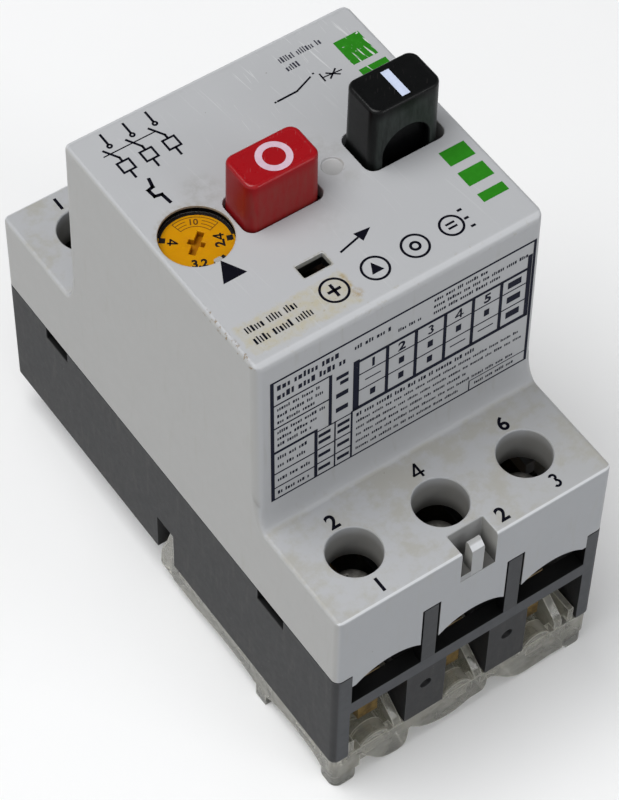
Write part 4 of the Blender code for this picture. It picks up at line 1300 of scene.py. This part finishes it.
def coil(cx, cy, z0, z1, radius, wire, turns):
    """A round-wire coil, closed at both ends by flat caps. wire is the wire's radius."""
    per_turn, sides = 36, 10
    bm = bmesh.new()
    rings = []
    steps = int(turns * per_turn)
    lean = math.atan2((z1 - z0 - 2 * wire) / (2 * math.pi * turns), radius)
    around = [2 * math.pi * k / sides for k in range(sides)]
    for i in range(steps + 1):
        a = 2 * math.pi * turns * i / steps
        z = z0 + wire + (z1 - z0 - 2 * wire) * i / steps
        radial = Vector((math.cos(a), math.sin(a), 0))
        tangent = Vector((
            -math.sin(a) * math.cos(lean), math.cos(a) * math.cos(lean), math.sin(lean)
        ))
        up = radial.cross(tangent)
        centre = Vector((cx, cy, z)) + radial * radius
        rings.append([
            bm.verts.new((centre + radial * (wire * math.cos(b)) + up * (wire * math.sin(b))) * MM)
            for b in around
        ])
    for first, second in zip(rings, rings[1:]):
        for k in range(sides):
            m = (k + 1) % sides
            bm.faces.new((first[k], first[m], second[m], second[k]))
    bm.faces.new(rings[0])
    bm.faces.new(rings[-1])
    return mesh_object("tmp", bm)


def springs():
    look = {"weighted": False, "clean": False, "sharp": 60}
    # button, x, top z, share of the length left when pressed
    for button, x, top, keep in (("start", START_X, 71.1, 0.55), ("stop", STOP_X, 72.3, 0.75)):
        spring = coil(x, BUTTON_Y, 62.2, top, radius=3.1, wire=0.3, turns=4)
        name = f"{button}_return_spring"
        dress(spring, name, "housing", "zinc_steel", f"{button}_spring", **look)
        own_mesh(spring)
    for i, x in enumerate(POLES, 1):
        spring = coil(x, 11.0, 43.9, 47.9, radius=1.5, wire=0.22, turns=3)
        name = f"contact_pressure_spring_{i}"
        dress(spring, name, "contact_carrier", "zinc_steel", f"contact_spring_{i}", **look)


# ==========================================================================
# printed marks: thin raised ink, digits and plain pictograms only
# ==========================================================================
class Print:
    """Flat ink shapes on a surface. place(u, v, height) gives a point in metres."""

    def __init__(self, place, high=0.025, rng=None):
        self.bm = bmesh.new()
        self.place = place
        self.low, self.high = -0.04, high
        self.rng = rng

    def vert(self, u, v, height):
        return self.bm.verts.new(self.place(u, v, height))

    def poly(self, points):
        skin(self.bm, [[self.vert(u, v, h) for u, v in points] for h in (self.low, self.high)])

    def bar(self, u0, u1, v0, v1):
        self.poly(rectangle(u0, u1, v0, v1))

    def bars(self, *rows):
        for row in rows:
            self.bar(*row)

    def line(self, points, width):
        """One bar per stretch, each half a width longer at both ends."""
        h = width / 2
        for (ax, ay), (bx, by) in zip(points, points[1:]):
            d = math.hypot(bx - ax, by - ay)
            ux, uy = (bx - ax) / d, (by - ay) / d
            ax, ay, bx, by = ax - ux * h, ay - uy * h, bx + ux * h, by + uy * h
            self.poly([
                (ax - uy * h, ay + ux * h), (bx - uy * h, by + ux * h),
                (bx + uy * h, by - ux * h), (ax + uy * h, ay - ux * h),
            ])

    def arc(self, cx, cy, inner, outer, start=0.0, end=360.0, count=64):
        """Ring, or a part of one between two angles; count is for the full turn."""
        full = abs(end - start) >= 359.99
        steps = count if full else max(3, int(count * abs(end - start) / 360))
        corners = (
            (inner, self.low), (outer, self.low), (outer, self.high), (inner, self.high)
        )
        rows = []
        for i in range(steps + (not full)):
            a = math.radians(start + (end - start) * i / steps)
            c, s = math.cos(a), math.sin(a)
            rows.append([self.vert(cx + r * c, cy + r * s, h) for r, h in corners])
        for i in range(steps):
            bridge(self.bm, rows[i], rows[(i + 1) % len(rows)])
        if not full:
            self.bm.faces.new(rows[0])
            self.bm.faces.new(list(reversed(rows[-1])))

    def digits(self, text, cx, cy, height, angle=0.0, bold=0.0, squeeze=1.0):
        """Figures of the plain built-in typeface, centred on a point."""
        data = bpy.data.curves.new("figure", "FONT")
        data.body = text
        data.size = 1.0
        data.offset = bold
        data.extrude = 0.5
        data.resolution_u = 6
        holder = bpy.data.objects.new("figure", data)
        SCENE.collection.objects.link(holder)
        graph = bpy.context.evaluated_depsgraph_get()
        mesh = bpy.data.meshes.new_from_object(holder.evaluated_get(graph))
        xs = [v.co.x for v in mesh.vertices]
        ys = [v.co.y for v in mesh.vertices]
        mid_x, mid_y = (min(xs) + max(xs)) / 2, (min(ys) + max(ys)) / 2
        scale = height / (max(ys) - min(ys))
        c, s = math.cos(math.radians(angle)), math.sin(math.radians(angle))
        made = []
        for v in mesh.vertices:
            u, w = (v.co.x - mid_x) * scale * squeeze, (v.co.y - mid_y) * scale
            level = self.high if v.co.z > 0 else self.low
            made.append(self.vert(cx + u * c - w * s, cy + u * s + w * c, level))
        for face in mesh.polygons:
            # the typeface mesh may hold the same face twice
            try:
                self.bm.faces.new([made[i] for i in face.vertices])
            except ValueError:
                pass
        bmesh.ops.remove_doubles(self.bm, verts=made, dist=1e-7)
        bpy.data.objects.remove(holder, do_unlink=True)
        bpy.data.meshes.remove(mesh)
        bpy.data.curves.remove(data)

    def four(self, cx, cy, height, angle=0.0, width=0.16):
        """The figure 4 as open strokes; width is a share of the height."""
        c, s = math.cos(math.radians(angle)), math.sin(math.radians(angle))

        def turn(u, v):
            return cx + height * (u * c - v * s), cy + height * (u * s + v * c)

        w = width * height
        self.line([turn(0.14, 0.5 - width / 2), turn(0.14, -0.5 + width / 2)], w)
        self.line([turn(0.12, 0.46), turn(-0.30, -0.16)], w * 0.9)
        self.line([turn(-0.33, -0.20), turn(0.32, -0.20)], w * 0.9)

    def three(self, cx, cy, height, width=0.16):
        """The figure 3 as two open bowls."""
        w = width * height
        x = cx - 0.03 * height
        upper, lower = 0.255 * height, 0.285 * height
        self.arc(x, cy + 0.245 * height, upper - w, upper, -88, 152, count=48)
        self.arc(x, cy - 0.215 * height, lower - w, lower, -152, 88, count=48)

    def words(self, start, rows, height, word, gap=0.35, stroke=0.30):
        """Rows of short bars in place of small print, each row (v, end u)."""
        tick = height * stroke
        for v, stop in rows:
            u = start
            while u < stop - 0.4:
                end = min(u + self.rng.uniform(*word), stop)
                while u + tick < end:
                    w = tick * self.rng.choice((1.0, 1.0, 1.6))
                    low = v - height / 2
                    high = low + height * self.rng.choice((1.0, 0.72, 0.72, 0.86))
                    self.bar(u, u + w, low, high)
                    u += w + max(tick * 0.72, height * 0.20)
                u += gap

    def finish(self, name, material, body="housing", slot="cover_plastic"):
        obj = mesh_object(name, self.bm)
        dress(obj, name, body, slot, material=material, weighted=False, clean=False)


def on_top(z):
    return lambda u, v, h: Vector((u, v, z + h)) * MM


def on_front(u, z, h):
    """Point on the sloping -Y wall of the raised block."""
    if z >= KNEE_Z:
        y = WALL_TOP_Y + (KNEE_Y - WALL_TOP_Y) * (TOP_Z - z) / (TOP_Z - KNEE_Z)
    else:
        y = KNEE_Y + (FOOT_Y - KNEE_Y) * (KNEE_Z - z) / (KNEE_Z - FOOT_Z)
    return Vector((u, -y - h, z)) * MM


def front_marks():
    ink = Print(on_top(TOP_Z))
    # pointer of the setting dial
    ink.poly([(-16.3, -5.5), (-18.1, -8.9), (-14.5, -8.86)])
    # arrow on a stem beside the small slot
    ink.line([(-2.9, -12.9), (0.1, -12.2)], 0.30)
    ink.poly([(2.5, -11.65), (0.05, -11.35), (0.5, -13.0)])
    # four round pictograms
    for cx, cy, r in (
        (-7.16, -17.47, 2.04), (-0.84, -17.46, 2.0), (5.44, -17.37, 2.0), (11.24, -17.26, 1.76)
    ):
        ink.arc(cx, cy, r - 0.34, r, count=72)
    ink.bars((-7.38, -6.94, -18.55, -16.40), (-8.15, -6.20, -17.68, -17.26))
    ink.poly([(-0.84, -16.4), (-1.75, -18.15), (0.07, -18.15)])
    ink.arc(5.44, -17.37, 0.42, 0.80, count=40)
    ink.bars((10.55, 11.93, -17.02, -16.70), (10.55, 11.93, -17.72, -17.40))
    for cy in (-15.75, -17.3, -18.8):
        ink.bar(13.2, 13.9, cy - 0.18, cy + 0.18)
    # thermal trip zig-zag
    ink.line([
        (-16.45, 10.75), (-16.75, 9.45), (-17.55, 9.25), (-17.40, 7.95), (-16.45, 7.75),
        (-16.25, 6.15),
    ], 0.48)
    # switch contact mark
    ink.line([(4.9, 12.53), (7.95, 12.58)], 0.30)
    ink.line([(7.95, 12.58), (10.8, 13.66)], 0.26)
    ink.bars((4.35, 4.62, 12.38, 12.66), (11.35, 11.65, 13.85, 14.10))
    ink.line([(12.15, 13.35), (12.1, 12.05)], 0.24)
    ink.line([(13.0, 13.05), (14.4, 11.95)], 0.24)
    ink.line([(13.0, 12.0), (14.4, 13.05)], 0.24)
    ink.line([(12.15, 12.65), (15.0, 12.45)], 0.18)
    # three-pole diagram in the -X +Y corner
    for cx in (-17.6, -14.1, -10.6):
        ink.line([(cx, 20.6), (cx, 18.7)], 0.34)
        ink.arc(cx, 18.35, 0.14, 0.44, count=28)
        ink.line([(cx, 16.0), (cx - 1.15, 18.0)], 0.34)
        ink.line([(cx, 16.0), (cx, 15.4)], 0.34)
        ink.bars(
            (cx - 1.05, cx + 1.05, 15.4, 15.08),
            (cx - 1.05, cx + 1.05, 13.6, 13.28),
            (cx - 1.05, cx - 0.73, 13.6, 15.08),
            (cx + 0.73, cx + 1.05, 13.6, 15.08),
        )
        ink.line([(cx, 13.28), (cx, 12.1)], 0.34)
    ink.line([(-19.2, 17.15), (-11.3, 17.15)], 0.18)
    ink.finish("front_marks", "print_ink")


def front_text():
    rng = random.Random(7)
    ink = Print(on_top(TOP_Z), rng=rng)
    ink.words(9.0, [(18.3, 15.6)], height=1.0, word=(2.0, 3.4), gap=0.4, stroke=0.17)
    ink.words(9.0, [(16.6, 11.0)], height=1.0, word=(1.8, 2.2), gap=0.4, stroke=0.17)
    ink.finish("front_small_print", "faint_ink")
    ink = Print(on_top(TOP_Z), rng=rng)
    ink.words(-20.0, [(-16.55, -12.2)], height=1.15, word=(1.8, 3.0), gap=0.5, stroke=0.17)
    ink.words(-20.0, [(-18.55, -11.4)], height=1.15, word=(1.6, 3.2), gap=0.5, stroke=0.17)
    ink.finish("front_text_rows", "print_ink")


def green_marks():
    ink = Print(on_top(TOP_Z))
    for y0, y1 in ((-9.3, -6.6), (-13.35, -10.7), (-16.5, -14.95)):
        ink.bar(17.0, 21.0, y0, y1)
    ink.finish("green_marks", "green_ink")
    ink = Print(on_top(TOP_Z))
    ink.bars((16.8, 20.85, 12.2, 16.95), (16.85, 21.2, 8.6, 11.1))
    ink.finish("green_marks_worn", "green_worn_ink")


def ledge_figures():
    """Terminal figures on the ledges."""
    ink = Print(on_top(LEDGE_Z))
    for text, cx, cy in (("2", -13.75, -27.5), ("6", 14.45, -27.4)):
        ink.digits(text, cx, cy, 2.35, bold=0.024)
    ink.four(0.30, -27.2, 2.35, width=0.15)
    for text, cx, cy in (
        ("1", -14.2, -39.0), ("2", 5.5, -39.1), ("1", -14.0, 27.4), ("5", 14.0, 27.4),
        ("1", -14.6, 38.9), ("2", -5.3, 38.9),
    ):
        ink.digits(text, cx, cy, 2.3, bold=0.025)
    for cx, cy in ((14.7, -38.8), (0.0, 27.4), (14.6, 38.9)):
        ink.three(cx, cy, 2.3)
    ink.finish("ledge_figures", "print_ink")


LABEL_COLUMNS = (-4.4, 0.1, 4.7, 9.25, 13.8)


def label_grid():
    """Frame, rules and column figures of the rating label, in x and z."""
    ink = Print(on_front)
    x0, x1, z0, z1 = -20.35, 21.35, 47.75, 72.95
    ink.bars(
        (x0, x0 + 0.55, z0, z1), (x1 - 0.42, x1, z0, z1),
        (x0, x1, z1 - 0.34, z1), (x0, x1, z0, z0 + 0.26),
    )
    # z, right end, thickness
    for z, end, w in (
        (67.95, -11.2, 0.26), (63.15, -11.2, 0.26), (58.0, -13.2, 0.48), (53.4, -13.2, 0.24),
        (50.35, -13.2, 0.22),
    ):
        ink.bar(x0, end, z - w / 2, z + w / 2)
    ink.bars(
        (-11.35, -10.85, 57.6, 68.0), (-13.55, -13.05, z0, 58.2),
        (-10.40, -10.18, z0, 57.7), (-7.80, -7.50, z0, 57.9),
    )
    for z in (53.55, 50.5):
        ink.bar(-13.3, -7.6, z - 0.12, z + 0.12)
    ink.bars(
        (-7.55, -6.60, 57.6, 68.1), (-7.55, 20.7, 57.6, 58.25),
        (-6.7, 20.7, 67.35, 67.85), (20.15, 20.85, 57.6, 70.3),
    )
    for x in (-2.2, 2.35, 7.0, 11.5, 16.05):
        ink.bar(x - 0.26, x + 0.26, 58.0, 67.6)
    for z in (64.75, 61.45):
        ink.bar(-6.7, 20.3, z - 0.10, z + 0.10)
    ink.bar(-13.3, -7.7, 57.45, 57.65)
    for figure, cx in enumerate(LABEL_COLUMNS, 1):
        if figure == 3:
            ink.three(cx, 66.05, 1.75, width=0.17)
        elif figure == 4:
            ink.four(cx, 66.05, 1.75)
        else:
            ink.digits(str(figure), cx, 66.05, 1.75, bold=0.03, squeeze=1.05)
    ink.finish("label_grid", "label_ink")


def label_small_print():
    ink = Print(on_front, rng=random.Random(21))
    left = -19.3
    ink.words(left, [(71.4, -9.4), (69.5, -8.6)], height=1.15, word=(1.8, 3.6), gap=0.45)
    rows = [(66.9, -12.6), (65.5, -12.2), (64.2, -13.4), (62.1, -11.9), (60.75, -13.0),
            (59.4, -13.8)]
    ink.words(left, rows, height=0.62, word=(0.9, 2.2))
    rows = [(56.6, -14.4), (54.9, -14.9), (51.9, -14.2), (49.1, -14.2)]
    ink.words(left, rows, height=0.70, word=(1.0, 2.0))
    for x in (-12.9, -9.9):
        for z in (56.4, 55.0, 52.1, 49.2):
            ink.bar(x, x + 1.9, z - 0.32, z + 0.32)
    ink.bars(
        (-10.2, -8.3, 66.2, 66.9), (-9.6, -8.3, 64.9, 65.6),
        (-10.2, -8.3, 62.4, 63.3), (-10.2, -8.3, 59.4, 60.3),
    )
    ink.words(-7.4, [(70.9, -1.5)], height=0.8, word=(1.2, 1.9), gap=0.4)
    ink.words(-0.6, [(69.6, 3.2)], height=0.6, word=(0.9, 1.5))
    ink.words(5.0, [(71.7, 13.5), (70.45, 20.0), (69.2, 15.6)], height=0.62, word=(0.8, 2.2))
    # a dash or an upright bar in each cell of the table
    for column, cx in enumerate(LABEL_COLUMNS):
        for z, dash in ((63.1, column == 0), (59.95, column > 2)):
            half_x, half_z = (1.25, 0.10) if dash else (0.42, 0.62)
            ink.bar(cx - half_x, cx + half_x, z - half_z, z + half_z)
    for z in (66.1, 63.1, 59.95):
        ink.bar(17.1, 19.3, z - 0.62, z + 0.62)
    ink.words(-6.9, [(56.55, 13.0)], height=0.78, word=(0.9, 2.6))
    rows = [(55.05, 19.6), (53.6, 20.2), (52.15, 11.0), (50.7, 19.0), (49.25, 10.2)]
    ink.words(-6.9, rows, height=0.52, word=(0.8, 2.4))
    ink.words(12.6, [(48.95, 19.6)], height=0.55, word=(1.0, 2.0))
    ink.bars((11.6, 11.78, 48.0, 50.0), (11.6, 20.9, 49.85, 50.0))
    ink.finish("label_small_print", "label_ink")


def button_marks():
    ink = Print(on_top(STOP_TOP - 0.05), high=0.035)
    ink.arc(-4.97, -0.83, 1.53, 2.45, count=96)
    ink.finish("stop_ring", "ring_ink", "stop_button", "red_plastic")
    ink = Print(on_top(START_TOP - 0.05), high=0.035)
    ink.bar(13.07, 14.33, -3.35, 1.5)
    ink.finish("start_bar", "bar_ink", "start_button", "black_plastic")


def dial_point(angle, radius):
    a = math.radians(angle)
    return DIAL_X + radius * math.cos(a), DIAL_Y + radius * math.sin(a)


def dial_marks():
    ink = Print(on_top(DIAL_TOP), high=0.02)
    ink.four(*dial_point(144, 3.07), 1.35, 144 + 90, 0.19)
    ink.digits("2.", *dial_point(-33.5, 2.98), 1.35, angle=-25 + 90, bold=0.042)
    ink.four(*dial_point(-12.5, 3.0), 1.35, -25 + 90, 0.19)
    ink.digits("3.2", *dial_point(-116, 3.35), 1.35, angle=-116 + 90, bold=0.038)
    # small squares, turned to face the centre
    half = 0.42
    for angle, radius in ((141, 4.42), (-22, 4.35), (-69, 4.25)):
        c, s = math.cos(math.radians(angle)), math.sin(math.radians(angle))
        u, v = dial_point(angle, radius)
        corners = ((1, 1), (-1, 1), (-1, -1), (1, -1))
        ink.poly([(u + half * (i * c - j * s), v + half * (i * s + j * c)) for i, j in corners])
    ink.arc(DIAL_X, DIAL_Y, 4.66, 5.04, -16, 137, count=140)
    ink.finish("dial_figures", "dial_ink", "setting_dial", "amber_plastic")

    # ruled arc-shaped box, its middle lines broken around the figure
    ink = Print(on_top(DIAL_TOP), high=0.02)
    ink.digits("10", *dial_point(62, 3.5), 1.0, angle=62 - 90, bold=0.02)
    whole, broken = [(17, 103)], [(17, 46), (79, 103)]
    for radius, spans in ((4.30, whole), (3.78, broken), (3.26, broken), (2.74, whole)):
        for start, end in spans:
            ink.arc(DIAL_X, DIAL_Y, radius - 0.045, radius + 0.045, start, end, count=120)
    for angle in whole[0]:
        ink.line([dial_point(angle, 2.74), dial_point(angle, 4.30)], 0.09)
    ink.finish("dial_scale_box", "dial_fine_ink", "setting_dial", "amber_plastic")


# ==========================================================================
# CAD pieces, floor, light and camera
# ==========================================================================
def dress_cad_nodes():
    """The CAD nodes keep their shape and get their material."""
    slots = {part["node"]: part["material_slot"] for part in frame["record"]["subparts"]}
    for name, obj in frame["nodes"].items():
        material = "clip_plastic" if name == "rail_clip" else slots[name]
        obj.data.materials.clear()
        obj.data.materials.append(MATERIALS[material])


def make_floor():
    mesh = bpy.data.meshes.new("floor")
    mesh.from_pydata([(-4, -4, 0), (4, -4, 0), (4, 4, 0), (-4, 4, 0)], [], [(0, 1, 2, 3)])
    floor = bpy.data.objects.new("floor", mesh)
    SCENE.collection.objects.link(floor)
    mat = Surface("floor_paper", (0.88, 0.88, 0.88))
    mat.paint((0.85, 0.85, 0.85), mat.noise(0.02, detail=3, rough=0.5))
    # a slight glow that only the camera sees
    camera_ray = mat.node("LightPath", {}).outputs["Is Camera Ray"]
    paper = mat.finish(
        rough=0.85,
        Specular_IOR_Level=0.1,
        Emission_Strength=mat.mul(camera_ray, 0.10),
        Emission_Color=(1.0, 1.0, 1.0),
    )
    floor.data.materials.append(paper)


def make_world():
    """Even sky that darkens towards one direction."""
    dark_towards = (0.355, 0.484, 0.80)
    world = bpy.data.worlds.new("studio")
    SCENE.world = world
    world.use_nodes = True
    tree = world.node_tree
    back = tree.nodes["Background"]
    coords = tree.nodes.new("ShaderNodeTexCoord")
    dot = tree.nodes.new("ShaderNodeVectorMath")
    dot.operation = "DOT_PRODUCT"
    tree.links.new(coords.outputs["Generated"], dot.inputs[0])
    dot.inputs[1].default_value = dark_towards
    fade = tree.nodes.new("ShaderNodeMapRange")
    fade.interpolation_type = "SMOOTHSTEP"
    tree.links.new(dot.outputs["Value"], fade.inputs["Value"])
    limits = {"From Min": 0.35, "From Max": 0.92, "To Min": 0.56, "To Max": 0.06}
    for name, value in limits.items():
        fade.inputs[name].default_value = value
    tree.links.new(fade.outputs["Result"], back.inputs["Strength"])
    back.inputs["Color"].default_value = (0.96, 0.98, 1.0, 1.0)


def softbox(name, location, size, power):
    """Rectangular light aimed at the middle of the object, in metres and watts."""
    data = bpy.data.lights.new(name, "AREA")
    data.shape = "RECTANGLE"
    data.size, data.size_y = size
    data.energy = power
    light = bpy.data.objects.new(name, data)
    SCENE.collection.objects.link(light)
    light.location = Vector(location)
    aim = Vector((0, 0, 0.045)) - Vector(location)
    light.rotation_euler = aim.to_track_quat("-Z", "Y").to_euler()


def make_camera():
    data = bpy.data.cameras.new("camera")
    camera = bpy.data.objects.new("camera", data)
    SCENE.collection.objects.link(camera)
    place = Vector((-148.954, -207.987, 378.208)) * MM
    right = Vector((0.81954037, -0.57276816, 0.01703593))
    down = Vector((-0.44964, -0.66123, -0.60050))
    view = Vector((0.35520933, 0.48447012, -0.79944671))
    turn = Matrix((right, -down, -view)).transposed()
    camera.matrix_world = Matrix.Translation(place) @ turn.to_4x4()
    data.lens = 137.8
    data.sensor_width = 36.0
    data.shift_x = -0.0116
    data.shift_y = -0.0475
    data.clip_start = 0.01
    data.clip_end = 20.0
    SCENE.camera = camera


make_materials()
front_cover()
base_housing()
rear_cover()
stop_button()
start_button()
setting_dial()
springs()
for number, pole_x in enumerate(POLES, 1):
    terminal_screw(number, pole_x, -TERM_Y)
    terminal_screw(number + 3, pole_x, TERM_Y)
front_marks()
front_text()
green_marks()
ledge_figures()
label_grid()
label_small_print()
button_marks()
dial_marks()
dress_cad_nodes()
make_floor()
make_world()
softbox("key", location=(-0.20, 0.10, 0.76), size=(0.5, 0.5), power=4.6)
softbox("front", location=(0.25, -0.62, 0.42), size=(0.26, 0.16), power=0.55)
make_camera()
SCENE.view_settings.view_transform = "Standard"
